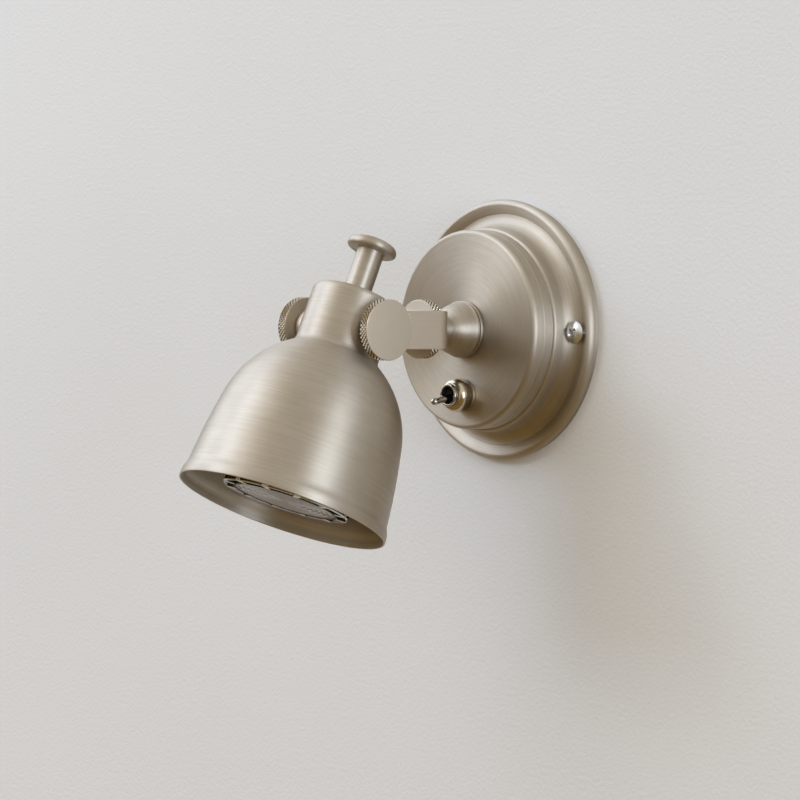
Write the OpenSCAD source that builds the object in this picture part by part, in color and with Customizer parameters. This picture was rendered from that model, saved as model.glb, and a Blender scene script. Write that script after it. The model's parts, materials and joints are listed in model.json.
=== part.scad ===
// Wall lamp with a swivelling yoke, a tilting bell shade and a toggle switch.
// Millimetres. The wall is the plane y = 0 and the lamp stands out along -Y.
// +X runs right along the wall and +Z is up.
// The origin is the middle of the backplate on the wall.

/* [Backplate] */
// Diameter of the backplate at its rim
plate_d = 105; // [103:1:110]
// Diameter of the raised drum in the middle
drum_d = 79.6; // [76:0.2:80]
// Height of the drum's flat front above the wall
plate_h = 23.3; // [23:0.1:25]
// Thickness of the pressed sheet
sheet_t = 1; // [0.8:0.1:1.2]
// Height of the rolled rim above the wall
rim_h = 5.8; // [5.6:0.1:6.2]
// Radius of the rolled rim
rim_r = 2.3; // [2:0.1:2.5]
// Radius of the hollow cove between rim and drum
cove_r = 5.2; // [4.8:0.1:5.6]
// Radius of the rounded front edge of the drum
drum_edge_r = 1.8; // [1.2:0.1:2.4]

/* [Cover screws and wall bracket] */
// Distance between the two cover screws
cover_pitch = 90.6; // [90:0.2:91.2]
// Head diameter of a cover screw
cover_head_d = 8.7; // [8:0.1:9]
// Thread diameter of a cover screw
cover_thread_d = 4; // [3.5:0.1:4.2]
// Distance between the two wall screw slots
wall_pitch = 60; // [54:1:64]
// Width of a wall screw slot
wall_slot_w = 4.8; // [4:0.1:5.5]
// Length of a wall screw slot
wall_slot_l = 11; // [8:0.5:12]
// Thickness of the bracket strip
bracket_t = 1.6; // [1.2:0.1:2]
// Width of the bracket strip
bracket_w = 20; // [17:0.5:22]
// Diameter of the cable hole in the bracket
cable_hole_d = 11; // [9:0.5:12]

/* [Hub and swivel] */
// Diameter of the thin collar of the hub
hub_d = 22.6; // [20.6:0.1:24]
// Height of the hub from the backplate to the end of its dome
hub_h = 12.3; // [10.5:0.1:14]
// Outer diameter of the threaded tube
tube_d = 10; // [9:0.1:10.4]
// Bore of the threaded tube
tube_bore = 7; // [6:0.1:7.6]
// Diameter of the knurled collar and of the two pivot knobs
knob_d = 23.6; // [21:0.1:24]
// Thickness of the knurled rims
knob_t = 4.1; // [3.5:0.05:4.3]
// Distance from the wall to the yoke's back
yoke_d = 48.65; // [47:0.05:50]

/* [Yoke] */
// Thickness of the yoke strap
strap_t = 2.7; // [2.2:0.1:3]
// Width of the yoke strap
strap_w = 14.9; // [14.2:0.1:16]
// Overall width of the yoke
yoke_w = 40.8; // [40.6:0.1:43]
// Outer bend radius of the yoke
bend_r = 5.3; // [3.5:0.1:6]
// Distance from the wall to the tilt axis
pivot_d = 86.7; // [85:0.1:90]
// Diameter of the pivot studs
stud_d = 5; // [4:0.1:5.4]
// Gap between a knurled rim and the yoke's arm
knob_gap = 1.7; // [1.2:0.05:2.2]

/* [Shade] */
// Tilt of the head away from straight down
tilt = 23.1; // [10:0.1:40]
// Outer diameter of the shade's neck
neck_d = 33.2; // [32:0.1:34]
// Distance from the tilt axis up to the neck's top
neck_top = 13.9; // [13.4:0.1:15.5]
// Radius of the neck's top edge
neck_edge_r = 2.5; // [1.5:0.1:3]
// Distance from the tilt axis down to where the neck starts to flare
flare_s = 8.6; // [7.5:0.1:10]
// Radius of the hollow flare under the neck
flare_r = 3.8; // [3:0.1:4.5]
// Steepest slope of the bell, from its axis
bell_slope = 55.6; // [50:0.1:60]
// Radius of the bell's shoulder
bell_r = 42; // [40:0.1:44]
// Slope where the shoulder runs into the long skirt
skirt_slope = 10.8; // [9:0.1:13]
// Radius of the long skirt
skirt_r = 274; // [250:1:300]
// Slope where the skirt runs into the lip
lip_slope = 4.6; // [3:0.1:6]
// Distance from the tilt axis to the shade's opening
opening_s = 75.2; // [74.5:0.1:78]
// Thickness of the spun shade
shade_t = 1; // [0.8:0.1:1.2]

/* [Aiming post] */
// Diameter of the post on the neck
post_d = 10.7; // [9:0.1:12]
// Length of the post under its cap
post_l = 18.4; // [16:0.1:20]
// Diameter of the post's cap
cap_d = 19.7; // [17:0.1:21]
// Thickness of the post's cap
cap_t = 5.5; // [4.9:0.1:6.5]
// Diameter of the rod that runs down from the post
rod_d = 4; // [3.5:0.1:4.5]

/* [Lamp] */
// Diameter of the bulb's face
bulb_d = 50; // [48:0.1:52]
// Distance from the tilt axis to the bulb's face
bulb_face_s = 71.5; // [69:0.1:72]
// Distance between the two contact pins
pin_pitch = 10; // [9.5:0.1:10.5]
// Diameter of the lamp holder
holder_d = 28; // [26:0.1:29]
// Number of bright bridges across the bulb's vent ring
bridges = 12; // [9:1:20]
// Twist that frees the bulb from its holder
twist = 25; // [15:1:30]

/* [Switch] */
// Distance of the switch below the middle
switch_drop = 26.2; // [25:0.1:27]
// Diameter of the round nut around the switch
dome_nut_d = 13.6; // [12.5:0.1:14.2]
// Diameter of the switch's threaded sleeve
sleeve_d = 9; // [8:0.1:9.4]
// Height of the sleeve's end above the drum's front
sleeve_out = 8.8; // [8.2:0.1:9.4]
// Height of the lever's tip above the drum's front
lever_out = 17.3; // [15.5:0.1:18.5]
// Diameter of the lever's tip
lever_tip_d = 3.1; // [2.8:0.1:3.3]
// Angle of the lever from straight out, each way
lever_angle = 11; // [8:0.5:13]

/* [Hidden] */
$fn = 96;

// Radial clearance of a shaft, stud or thread in its hole
fit = 0.05;
// Clearance between two faces that turn against each other
face_gap = 0.05;
// Clearance between a loose part and a hollow around it
loose = 0.3;
// A little more than nothing, for cuts that pass a face
over = 1;

nickel = [0.71, 0.68, 0.61];
steel = [0.74, 0.75, 0.76];
zinc = [0.62, 0.63, 0.62];
brass = [0.78, 0.64, 0.34];
white = [0.92, 0.92, 0.9];
black = [0.12, 0.12, 0.13];
grey = [0.5, 0.5, 0.5];

plate_r = plate_d / 2;
drum_r = drum_d / 2;
knob_r = knob_d / 2;
neck_r = neck_d / 2;
stud_r = stud_d / 2;
tube_r = tube_d / 2;

// Outline of the backplate, from its rim inwards
skirt_in = 0.9;
groove_h = 4.1;
step_w = 1.1;
step_top = 13.4;
cove_wall_r = drum_r + step_w;
cove_mid_r = cove_wall_r + cove_r;
cove_mid_h = groove_h + cove_r;
rim_mid_r = plate_r - rim_r;
rim_mid_h = rim_h - rim_r;

// Cover screws and the bracket that they go into; both screws stop just short of the wall
cover_x = cover_pitch / 2;
cover_seat_h = 6.3;
cover_head_h = 2.2;
cover_seat_r = cover_head_d / 2 + 2 * fit;
cover_screw_l = cover_seat_h - 0.4;
boss_h = 2.6;
boss_r = 3;
strip_l = cover_pitch + 2 * (boss_r - loose);
tab_h = 26;
tab_w = 13;

// Earth screw and connector block on the bracket
earth_x = 14;
earth_r = 2;
earth_head_r = 3.8;
earth_head_h = 2.4;
block_size = [30, 9, 10];
block_z = 20;
block_screw_r = 1.5;
block_head_r = 2.8;
block_head_h = 1.8;
block_recess_r = 3;
pole_pitch = 10;
pole_side = [-1, 1];
pole_screw_r = 1.6;
pole_screw_l = 3;
pole_slot = 0.6;
wire_hole_r = 1.4;
screw_short = 0.1;

// Hub and swivel, as distances from the wall
tube_start = 17.3;
tube_washer_t = 0.8;
tube_washer_r = 9;
tube_nut_t = 3;
tube_nut_af = 14;
inner_face = plate_h - sheet_t;
hub_neck_r = 6;
hub_neck_l = 4.4;
hub_end = plate_h + hub_h + hub_neck_l;
collar_start = yoke_d - face_gap - knob_t;
collar_boss_r = 7.2;
collar_boss_start = hub_end + loose;
web_front = yoke_d + strap_t;
yoke_washer_t = 0.8;
yoke_washer_r = 7.1;
yoke_washer_front = web_front + face_gap + yoke_washer_t;
yoke_nut_t = 3.5;
yoke_nut_front = yoke_washer_front + yoke_nut_t;
tube_end = yoke_nut_front + 0.9;
bush_flange_t = 1.2;
bush_bore = 5;
bush_depth = 4;

// Yoke arms and knobs, as distances from the middle plane
arm_out = yoke_w / 2;
arm_in = arm_out - strap_t;
knob_in = arm_out + knob_gap;
knob_out = knob_in + knob_t;
knob_boss_r = 6.5;
knob_chamfer = 0.25;
boss_in = 9;
stud_in = boss_in + 0.5;
pivot_boss_r = 4.6;
pivot_boss_flange_r = 5.6;
pivot_boss_flange_t = 2.5;
washer_t = 0.5;
washer_r = 6.6;
boss_out = arm_in - face_gap - washer_t;

// The shade's lip, which kicks out and straightens again, and its outer line from the neck to the opening
lip_out_r = 8;
lip_in_r = 6;
lip_flare = 25;
lip_end_slope = 2;
bell_line = arc_run([[neck_r, flare_s, 0]], [[flare_r, bell_slope], [bell_r, skirt_slope],
    [skirt_r, lip_slope], [lip_out_r, lip_flare], [lip_in_r, lip_end_slope]]);
bell_end = bell_line[len(bell_line) - 1];
mouth_r = bell_end.x + (opening_s - bell_end.y) * tan(lip_end_slope);
shade_line = concat([[neck_r, -neck_top + neck_edge_r, 0]], bell_line, [[mouth_r, opening_s, lip_end_slope]]);

// Rubber grommet in the neck's wall-side face, where the leads come in
grommet_s = -6;
grommet_r = 3.4;
grommet_bore_r = 2.2;
grommet_lip = 1;
grommet_lip_t = 0.9;
grommet_gap = 0.1;
grommet_in = 1.2;
grommet_tail = 0.6;

// Aiming post
cap_low_r = 1.35;
cap_high_r = 2.6;
cap_sink = 0.02;

// Inside of the neck, as distances from the tilt axis towards the opening
top_in = -neck_top + shade_t;
post_nut_t = 3.2;
post_nut_af = 7;
bracket_nut_t = 2.2;
plate_s = pivot_boss_flange_r + loose;
plate_t = 1.2;
holder_s = plate_s + plate_t;
bulb_l = 50;
bulb_back_s = bulb_face_s - bulb_l;
holder_face_s = bulb_back_s - 0.2;
holder_plate_r = 13.2;
rod_end_s = holder_s + 2.6;
holder_screw_at = 9.5;
holder_thread_r = 1.5;
holder_thread_l = 6;
holder_head_r = 2.6;
holder_head_h = 1.7;
lead_hole_r = 2.2;
nut_recess_r = 4.6;
nut_recess_l = 3.2;
slot_lip_t = 1.5;
slot_cavity_l = 5.9;
slot_head_gap = 0.2;
slot_neck_gap = 0.15;
pin_head_r = 2.45;
pin_neck_r = 1.5;
pin_head_l = 3.7;
pin_gap = 0.2;
pin_sink = 0.5;

// Bulb, as distances from its back
bulb_r = bulb_d / 2;
base_r = 11;
base_l = 9;
housing_start_r = base_r + 1.5;
housing_wide_r = bulb_r - 1;
housing_floor = 6;
housing_bore_r = 9;
rim_l = 8;
rim_edge = 0.7;
bridge_a = 6;
vent_out_r = bulb_r - 1.6;
vent_in_r = vent_out_r - 3;
vent_deep = 2.4;
lens_drop = 0.9;
lens_t = 1.6;
lens_r = vent_in_r - 1;

// Switch
switch_top = 17.3;
switch_size = [13, 15, 12.5];
switch_groove = 0.6;
switch_groove_t = 0.8;
sleeve_r = sleeve_d / 2;
sleeve_bore_r = sleeve_r - 0.85;
sleeve_end = plate_h + sleeve_out;
sleeve_edge = 0.4;
lock_nut_af = 12.5;
lock_nut_t = 2.4;
dome_straight = 4.4;
dome_shoulder = 3.3;
ball_h = 26.2;
ball_r = 2.6;
throat_r = 1.7;
throat_l = 3;
stem_r = 1.2;
stem_in = 0.15;
lug_size = [2.4, 0.8, 2.6];
lug_pitch = 4.7;

// Joins frames: straight out of the wall, along the head and along the tilt axis
module out(d = 0) {
    translate([0, -d, 0]) rotate([90, 0, 0]) children();
}

module in_head(s = 0) {
    translate([0, -pivot_d, 0]) rotate([180 - tilt, 0, 0]) translate([0, 0, s]) children();
}

module at_pivot(side, x = 0) {
    translate([0, -pivot_d, 0]) rotate([0, 90 * side, 0]) translate([0, 0, x]) children();
}

module at_switch(d = 0) {
    translate([0, 0, -switch_drop]) out(d) children();
}

// Plain shapes
module disc(r, h) {
    cylinder(r = r, h = h);
}

module ring(r, bore_r, h) {
    difference() {
        cylinder(r = r, h = h);
        translate([0, 0, -over]) cylinder(r = bore_r, h = h + 2 * over);
    }
}

module hex_nut(across, bore_r, h) {
    difference() {
        cylinder(r = across / 2 / cos(30), h = h, $fn = 6);
        translate([0, 0, -over]) cylinder(r = bore_r, h = h + 2 * over);
    }
}

module box_mid(size) {
    translate([-size.x / 2, -size.y / 2, 0]) cube(size);
}

// A pan head screw that points down, with its head on z = 0 and a cross recess
module pan_screw(head_r, head_h, thread_r, l) {
    slot_w = head_r * 0.28;
    slot_l = head_r * 1.15;
    slot_h = head_h * 0.6;
    cross_turn = 35;
    difference() {
        union() {
            rotate_extrude() pan_outline(head_r, head_h);
            translate([0, 0, -l]) cylinder(r = thread_r, h = l + head_h / 2);
        }
        for (a = [0, 90])
            rotate([0, 0, a + cross_turn]) translate([0, 0, head_h - slot_h])
                box_mid([slot_l, slot_w, slot_h + over]);
    }
}

// Half of a pan head: a low edge, then an arc that is level in the middle
module pan_outline(head_r, head_h) {
    edge_h = head_h * 0.3;
    rise = head_h - edge_h;
    arc_r = (head_r * head_r + rise * rise) / (2 * rise);
    intersection() {
        translate([0, head_h - arc_r]) circle(r = arc_r);
        square([head_r, head_h]);
    }
}

// A knurled rim's half outline with chamfered edges
module knob_outline(r, h, c) {
    polygon([[0, 0], [r - c, 0], [r, c], [r, h - c], [r - c, h], [0, h]]);
}

// Points [radius, distance, heading] of arcs that run on from each other. Each arc is [radius, end heading];
// a heading is in degrees from the axis, and a growing heading turns outwards.
function arc_points(at, heading, radius, to, steps) =
    let (turn = to > heading ? 1 : -1)
    let (mid = at + turn * radius * [cos(heading), -sin(heading)])
    [for (i = [1:steps]) let (h = heading + (to - heading) * i / steps)
        [mid.x - turn * radius * cos(h), mid.y + turn * radius * sin(h), h]];

function arc_run(path, arcs, i = 0) =
    i == len(arcs) ? path :
    let (last = path[len(path) - 1])
    let (steps = max(4, ceil(abs(arcs[i][1] - last.z) / 4)))
    arc_run(concat(path, arc_points([last.x, last.y], last.z, arcs[i][0], arcs[i][1], steps)), arcs, i + 1);

// The same points moved in by the wall's thickness
function inset_points(path, t) = [for (p = path) [p.x - t * cos(p.z), p.y + t * sin(p.z)]];

// Half section of the pressed backplate, moved in by inset; x is the radius, y the height above the wall
module plate_section(inset) {
    square([plate_r - skirt_in - inset, rim_mid_h]);
    translate([rim_mid_r, rim_mid_h]) circle(r = rim_r - inset);
    difference() {
        union() {
            polygon([[0, 0], [rim_mid_r, 0], [rim_mid_r, rim_h - inset], [cove_mid_r, groove_h - inset],
                [0, groove_h - inset]]);
            square([cove_mid_r, cove_mid_h]);
        }
        translate([cove_mid_r, cove_mid_h]) circle(r = cove_r + inset);
    }
    square([cove_wall_r - inset, step_top - step_w]);
    square([drum_r - inset, plate_h - drum_edge_r]);
    square([drum_r - drum_edge_r, plate_h - inset]);
    translate([drum_r - drum_edge_r, plate_h - drum_edge_r]) circle(r = drum_edge_r - inset);
}

module plate_outside() {
    rotate_extrude() {
        plate_section(0);
        translate([drum_r, step_top - step_w]) intersection() {
            circle(r = step_w);
            square(step_w);
        }
    }
}

module plate_inside() {
    rotate_extrude() plate_section(sheet_t);
    translate([0, 0, -over]) disc(plate_r - skirt_in - sheet_t, 2 * over);
}

module backplate() {
    color(nickel) out() difference() {
        union() {
            difference() {
                plate_outside();
                plate_inside();
            }
            intersection() {
                plate_outside();
                for (side = [-1, 1])
                    translate([side * cover_x, 0, cover_seat_h - sheet_t])
                        disc(cover_seat_r + sheet_t, step_top - cover_seat_h);
            }
        }
        for (side = [-1, 1]) translate([side * cover_x, 0, 0]) {
            translate([0, 0, cover_seat_h]) disc(cover_seat_r, cover_head_h + fit);
            disc(cover_thread_d / 2 + loose, plate_h);
        }
        disc(tube_r + fit, plate_h + over);
        translate([0, -switch_drop, 0]) disc(sleeve_r + fit, plate_h + over);
    }
}

module cover_screws() {
    color(steel) for (side = [-1, 1])
        translate([side * cover_x, 0, 0]) out(cover_seat_h)
            pan_screw(cover_head_d / 2, cover_head_h, cover_thread_d / 2 - fit, cover_screw_l);
}

module wall_bracket() {
    color(zinc) out() difference() {
        union() {
            box_mid([strip_l, bracket_w, bracket_t]);
            translate([-tab_w / 2, 0, 0]) cube([tab_w, tab_h, bracket_t]);
            for (side = [-1, 1]) translate([side * cover_x, 0, 0]) disc(boss_r, boss_h);
        }
        for (side = [-1, 1]) {
            translate([side * cover_x, 0, -over]) disc(cover_thread_d / 2, boss_h + 2 * over);
            translate([side * wall_pitch / 2, 0, -over]) wall_slot();
            bracket_corner_cut(side);
        }
        translate([0, 0, -over]) disc(cable_hole_d / 2, bracket_t + 2 * over);
        translate([earth_x, 0, -over]) disc(earth_r + fit, bracket_t + 2 * over);
        translate([0, block_z, -over]) disc(block_screw_r + fit, bracket_t + 2 * over);
    }
}

// The strip's corners are cut back so that its ends fit inside the round rim
module bracket_corner_cut(side) {
    cut = bracket_w / 2 - boss_r;
    for (up = [-1, 1])
        translate([side * strip_l / 2, up * bracket_w / 2, -over]) rotate([0, 0, 45])
            box_mid([cut * sqrt(2), cut * sqrt(2), bracket_t + 2 * over]);
}

module wall_slot() {
    straight = wall_slot_l - wall_slot_w;
    box_mid([straight, wall_slot_w, bracket_t + 2 * over]);
    for (side = [-1, 1]) translate([side * straight / 2, 0, 0]) disc(wall_slot_w / 2, bracket_t + 2 * over);
}

module earth_screw() {
    color(brass) translate([earth_x, 0, 0]) out(bracket_t)
        pan_screw(earth_head_r, earth_head_h, earth_r, bracket_t - screw_short);
}

module terminal_block() {
    color(white) translate([0, 0, block_z]) out(bracket_t) difference() {
        box_mid(block_size);
        translate([0, 0, -over]) disc(block_screw_r + fit, block_size.z + 2 * over);
        translate([0, 0, block_size.z / 2]) disc(block_recess_r, block_size.z);
        for (side = pole_side) translate([side * pole_pitch, 0, 0]) {
            translate([0, 0, block_size.z / 2]) rotate([90, 0, 0]) translate([0, 0, -block_size.y / 2 - over])
                disc(wire_hole_r, block_size.y + 2 * over);
            for (up = [-1, 1]) translate([0, up * block_size.y / 4, block_size.z / 2])
                disc(pole_screw_r, block_size.z);
        }
    }
}

module terminal_screws() {
    color(brass) for (side = pole_side, up = [-1, 1])
        translate([side * pole_pitch, 0, block_z + up * block_size.y / 4])
            out(bracket_t + block_size.z / 2 + wire_hole_r)
                difference() {
                    disc(pole_screw_r - fit, pole_screw_l);
                    translate([0, 0, pole_screw_l - pole_slot]) box_mid([2 * pole_screw_r, pole_slot, over]);
                }
}

module block_screw() {
    color(zinc) translate([0, 0, block_z]) out(bracket_t + block_size.z / 2)
        pan_screw(block_head_r, block_head_h, block_screw_r, block_size.z / 2 + bracket_t - 2 * screw_short);
}

// Hub: a thin collar, a groove, a lip and a dome that ends in a short neck
module hub_outline() {
    collar_h = 1.6;
    groove_w = 0.6;
    groove_deep = 0.8;
    lip_h = 1.2;
    lip_start = collar_h + groove_w;
    lip_end = lip_start + lip_h;
    chamfer = 0.3;
    dome_r = hub_d / 2 - chamfer;
    taper = 2.6;
    square([hub_neck_r, hub_h + hub_neck_l]);
    square([dome_r - groove_deep, lip_end]);
    square([hub_d / 2, collar_h]);
    translate([0, lip_start]) knob_outline(hub_d / 2, lip_h, chamfer);
    polygon(concat([[0, lip_end]],
        [for (i = [0:12]) let (u = i / 12)
            [dome_r - taper * u - (dome_r - taper - hub_neck_r) * pow(u, 4),
                lip_end + (hub_h - lip_end) * u]],
        [[0, hub_h]]));
}

module hub() {
    color(nickel) out(plate_h) difference() {
        rotate_extrude() hub_outline();
        translate([0, 0, -over]) disc(tube_r + fit, hub_h + hub_neck_l + 2 * over);
    }
}

module threaded_tube() {
    color(zinc) out(tube_start) ring(tube_r, tube_bore / 2, tube_end - tube_start);
}

module tube_washer() {
    color(zinc) out(inner_face - tube_washer_t) ring(tube_washer_r, tube_r + fit, tube_washer_t);
}

module tube_nut() {
    color(zinc) out(inner_face - tube_washer_t - tube_nut_t) hex_nut(tube_nut_af, tube_r + fit, tube_nut_t);
}

// Insulating bush in the tube's end, where the leads leave it
module tube_bush() {
    color(black) out(tube_end) difference() {
        union() {
            disc(tube_r, bush_flange_t);
            translate([0, 0, -bush_depth]) disc(tube_bore / 2 - fit, bush_depth + bush_flange_t / 2);
        }
        translate([0, 0, -bush_depth - over]) disc(bush_bore / 2, bush_depth + bush_flange_t + 2 * over);
    }
}

module swivel_collar() {
    color(nickel) {
        out(collar_boss_start) ring(collar_boss_r, tube_r + fit, collar_start - collar_boss_start);
        out(collar_start) difference() {
            rotate_extrude() knob_outline(knob_r, knob_t, knob_chamfer);
            translate([0, 0, -over]) disc(tube_r + fit, knob_t + 2 * over);
        }
    }
}

// The yoke's bent strap, seen from above: x across, y away from the wall
module yoke_plan() {
    reach = pivot_d - yoke_d;
    difference() {
        union() {
            translate([-arm_out + bend_r, 0]) square([yoke_w - 2 * bend_r, bend_r]);
            translate([-arm_out, bend_r]) square([yoke_w, reach - bend_r]);
            for (side = [-1, 1]) translate([side * (arm_out - bend_r), bend_r]) circle(r = bend_r);
        }
        translate([-arm_in + bend_r - strap_t, strap_t]) square([2 * (arm_in - bend_r + strap_t), bend_r]);
        translate([-arm_in, bend_r]) square([2 * arm_in, reach]);
        for (side = [-1, 1]) translate([side * (arm_out - bend_r), bend_r]) circle(r = bend_r - strap_t);
    }
}

module yoke() {
    color(nickel) difference() {
        union() {
            translate([0, -yoke_d, -strap_w / 2]) mirror([0, 1, 0]) linear_extrude(strap_w) yoke_plan();
            for (side = [-1, 1]) at_pivot(side, arm_in) disc(strap_w / 2, strap_t);
        }
        out(yoke_d - over) disc(tube_r + fit, strap_t + 2 * over);
        for (side = [-1, 1]) at_pivot(side, arm_in - over) disc(stud_r + fit, strap_t + 2 * over);
    }
}

module yoke_washer() {
    color(zinc) out(web_front + face_gap) ring(yoke_washer_r, tube_r + fit, yoke_washer_t);
}

module yoke_nut() {
    color(zinc) out(yoke_washer_front) hex_nut(tube_nut_af, tube_r + fit, yoke_nut_t);
}

// Pivot knob: a knurled rim with a shoulder on the yoke's arm and a stud through it
module pivot_knob(side) {
    color(nickel) {
        at_pivot(side, stud_in) disc(stud_r, knob_in + knob_chamfer - stud_in);
        at_pivot(side, arm_out + face_gap) disc(knob_boss_r, knob_gap - face_gap + knob_chamfer);
        at_pivot(side, knob_in) rotate_extrude() knob_outline(knob_r, knob_t, knob_chamfer);
    }
}

module left_knob() {
    pivot_knob(-1);
}

module right_knob() {
    pivot_knob(1);
}

// Threaded bosses that the studs screw into, one through each side of the neck
module pivot_bosses() {
    color(zinc) for (side = [-1, 1]) at_pivot(side) difference() {
        union() {
            translate([0, 0, boss_in]) disc(pivot_boss_r, boss_out - boss_in);
            translate([0, 0, boss_in]) disc(pivot_boss_flange_r, pivot_boss_flange_t);
        }
        translate([0, 0, boss_in - over]) disc(stud_r + fit, boss_out - boss_in + 2 * over);
    }
}

module friction_washers() {
    color(black) for (side = [-1, 1]) at_pivot(side, boss_out) ring(washer_r, stud_r + fit, washer_t);
}

// The spun shade with its neck, one wall all the way
module shade_section() {
    inner = inset_points(shade_line, shade_t);
    turns = [for (p = shade_line) [p.x, p.y]];
    back = [for (i = [len(inner) - 1:-1:0]) inner[i]];
    polygon(concat(turns, back));
}

module neck_top_section() {
    intersection() {
        difference() {
            union() {
                square([neck_r - neck_edge_r, shade_t]);
                translate([neck_r - neck_edge_r, neck_edge_r]) circle(r = neck_edge_r);
            }
            translate([neck_r - neck_edge_r, neck_edge_r]) circle(r = neck_edge_r - shade_t);
            translate([0, shade_t]) square([neck_r - neck_edge_r, neck_edge_r]);
        }
        square([neck_r, neck_edge_r]);
    }
}

module shade() {
    color(nickel) difference() {
        in_head() {
            rotate_extrude() shade_section();
            translate([0, 0, -neck_top]) rotate_extrude() neck_top_section();
        }
        in_head(-neck_top - over) disc(rod_d / 2 + fit, shade_t + 2 * over);
        for (side = [-1, 1]) at_pivot(side, boss_in) disc(pivot_boss_r + fit, neck_r);
        in_head(grommet_s) rotate([90, 0, 0]) translate([0, 0, neck_r / 2]) disc(grommet_r, neck_r);
    }
}

module lead_grommet() {
    start = neck_r - shade_t - grommet_in;
    lip_start = neck_r + grommet_gap;
    color(black) in_head(grommet_s) rotate([90, 0, 0]) difference() {
        union() {
            translate([0, 0, start]) disc(grommet_r - fit, neck_r + grommet_tail - start);
            translate([0, 0, lip_start]) disc(grommet_r + grommet_lip, grommet_lip_t);
        }
        translate([0, 0, start - over]) disc(grommet_bore_r, lip_start + grommet_lip_t - start + 2 * over);
    }
}

// Aiming post: post, rounded cap and the rod that hangs the lamp holder
module post_outline() {
    edge_mid = cap_low_r - cap_sink;
    edge_top = edge_mid + cap_high_r;
    low_in = cap_d / 2 - cap_low_r;
    dome_in = cap_d / 2 - cap_high_r;
    dome_h = cap_t - edge_top;
    dome_r = (dome_in * dome_in + dome_h * dome_h) / (2 * dome_h);
    square([post_d / 2, post_l + over]);
    translate([0, post_l]) {
        translate([low_in, edge_mid]) circle(r = cap_low_r);
        square([low_in, edge_mid]);
        translate([dome_in, edge_mid]) intersection() {
            circle(r = cap_high_r);
            square(cap_high_r);
        }
        square([dome_in, edge_top]);
        intersection() {
            translate([0, cap_t - dome_r]) circle(r = dome_r);
            square([dome_in, cap_t]);
        }
    }
}

module aiming_post() {
    color(nickel) {
        in_head(-neck_top) rotate([180, 0, 0]) rotate_extrude() intersection() {
            post_outline();
            square([cap_d, post_l + cap_t]);
        }
        in_head(-neck_top - over) disc(rod_d / 2, rod_end_s + neck_top + over);
    }
}

module post_nut() {
    color(zinc) in_head(top_in) hex_nut(post_nut_af, rod_d / 2 + fit, post_nut_t);
}

module holder_bracket() {
    color(zinc) in_head(plate_s) difference() {
        disc(holder_plate_r, plate_t);
        translate([0, 0, -over]) disc(rod_d / 2 + fit, plate_t + 2 * over);
        for (side = [-1, 1]) {
            translate([0, side * holder_screw_at, -over]) disc(holder_thread_r + fit, plate_t + 2 * over);
            translate([side * holder_screw_at, 0, -over]) disc(lead_hole_r, plate_t + 2 * over);
        }
    }
}

module bracket_nuts() {
    color(zinc) {
        in_head(plate_s - bracket_nut_t) hex_nut(post_nut_af, rod_d / 2 + fit, bracket_nut_t);
        in_head(holder_s) hex_nut(post_nut_af, rod_d / 2 + fit, bracket_nut_t);
    }
}

// Twist-lock lamp holder with two keyhole slots for the bulb's pins
module lamp_holder() {
    cavity_s = bulb_back_s - slot_cavity_l;
    color(white) in_head() difference() {
        translate([0, 0, holder_s]) disc(holder_d / 2, holder_face_s - holder_s);
        translate([0, 0, holder_s - over]) disc(nut_recess_r, nut_recess_l + over);
        for (side = [0, 180]) rotate([0, 0, side]) {
            translate([0, 0, cavity_s])
                arc_slot(pin_head_r + slot_head_gap, holder_face_s - slot_lip_t - cavity_s);
            translate([0, 0, cavity_s + over]) arc_slot(pin_neck_r + slot_neck_gap, holder_face_s);
            rotate([0, 0, twist]) translate([pin_pitch / 2, 0, cavity_s + over])
                disc(pin_head_r + slot_head_gap, holder_face_s);
        }
        for (side = [-1, 1]) translate([0, 0, holder_s - over]) {
            translate([0, side * holder_screw_at, 0]) disc(holder_thread_r + fit, holder_thread_l + over);
            translate([side * holder_screw_at, 0, 0]) disc(holder_thread_r, holder_thread_l + over);
        }
    }
}

module arc_slot(half_w, h) {
    rotate_extrude(angle = twist) translate([pin_pitch / 2 - half_w, 0]) square([2 * half_w, h]);
    for (a = [0, twist]) rotate([0, 0, a]) translate([pin_pitch / 2, 0, 0]) disc(half_w, h);
}

module holder_screws() {
    color(zinc) for (side = [-1, 1])
        in_head(plate_s) translate([0, side * holder_screw_at, 0]) rotate([180, 0, 0])
            pan_screw(holder_head_r, holder_head_h, holder_thread_r, plate_t + holder_thread_l - over);
}

// Bulb: base with pins, flared housing, front rim with a bridged vent ring, and lens
module bulb_base() {
    color(white) in_head(bulb_back_s) disc(base_r, base_l);
}

module bulb_pins() {
    head_s = holder_face_s - slot_lip_t - pin_gap;
    color(steel) for (side = [-1, 1]) in_head() translate([side * pin_pitch / 2, 0, 0]) {
        translate([0, 0, head_s - pin_head_l]) disc(pin_head_r, pin_head_l);
        translate([0, 0, head_s - pin_sink]) disc(pin_neck_r, bulb_back_s - head_s + pin_sink);
    }
}

module bulb_housing() {
    flare_l = bulb_l - base_l - rim_l;
    color(white) in_head(bulb_back_s + base_l) difference() {
        rotate_extrude() polygon(concat([[0, 0]],
            [for (i = [0:8]) let (u = i / 8)
                [housing_start_r + (housing_wide_r - housing_start_r) * sin(90 * u), flare_l * u]],
            [[0, flare_l]]));
        translate([0, 0, housing_floor]) disc(housing_bore_r, flare_l);
    }
}

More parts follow.
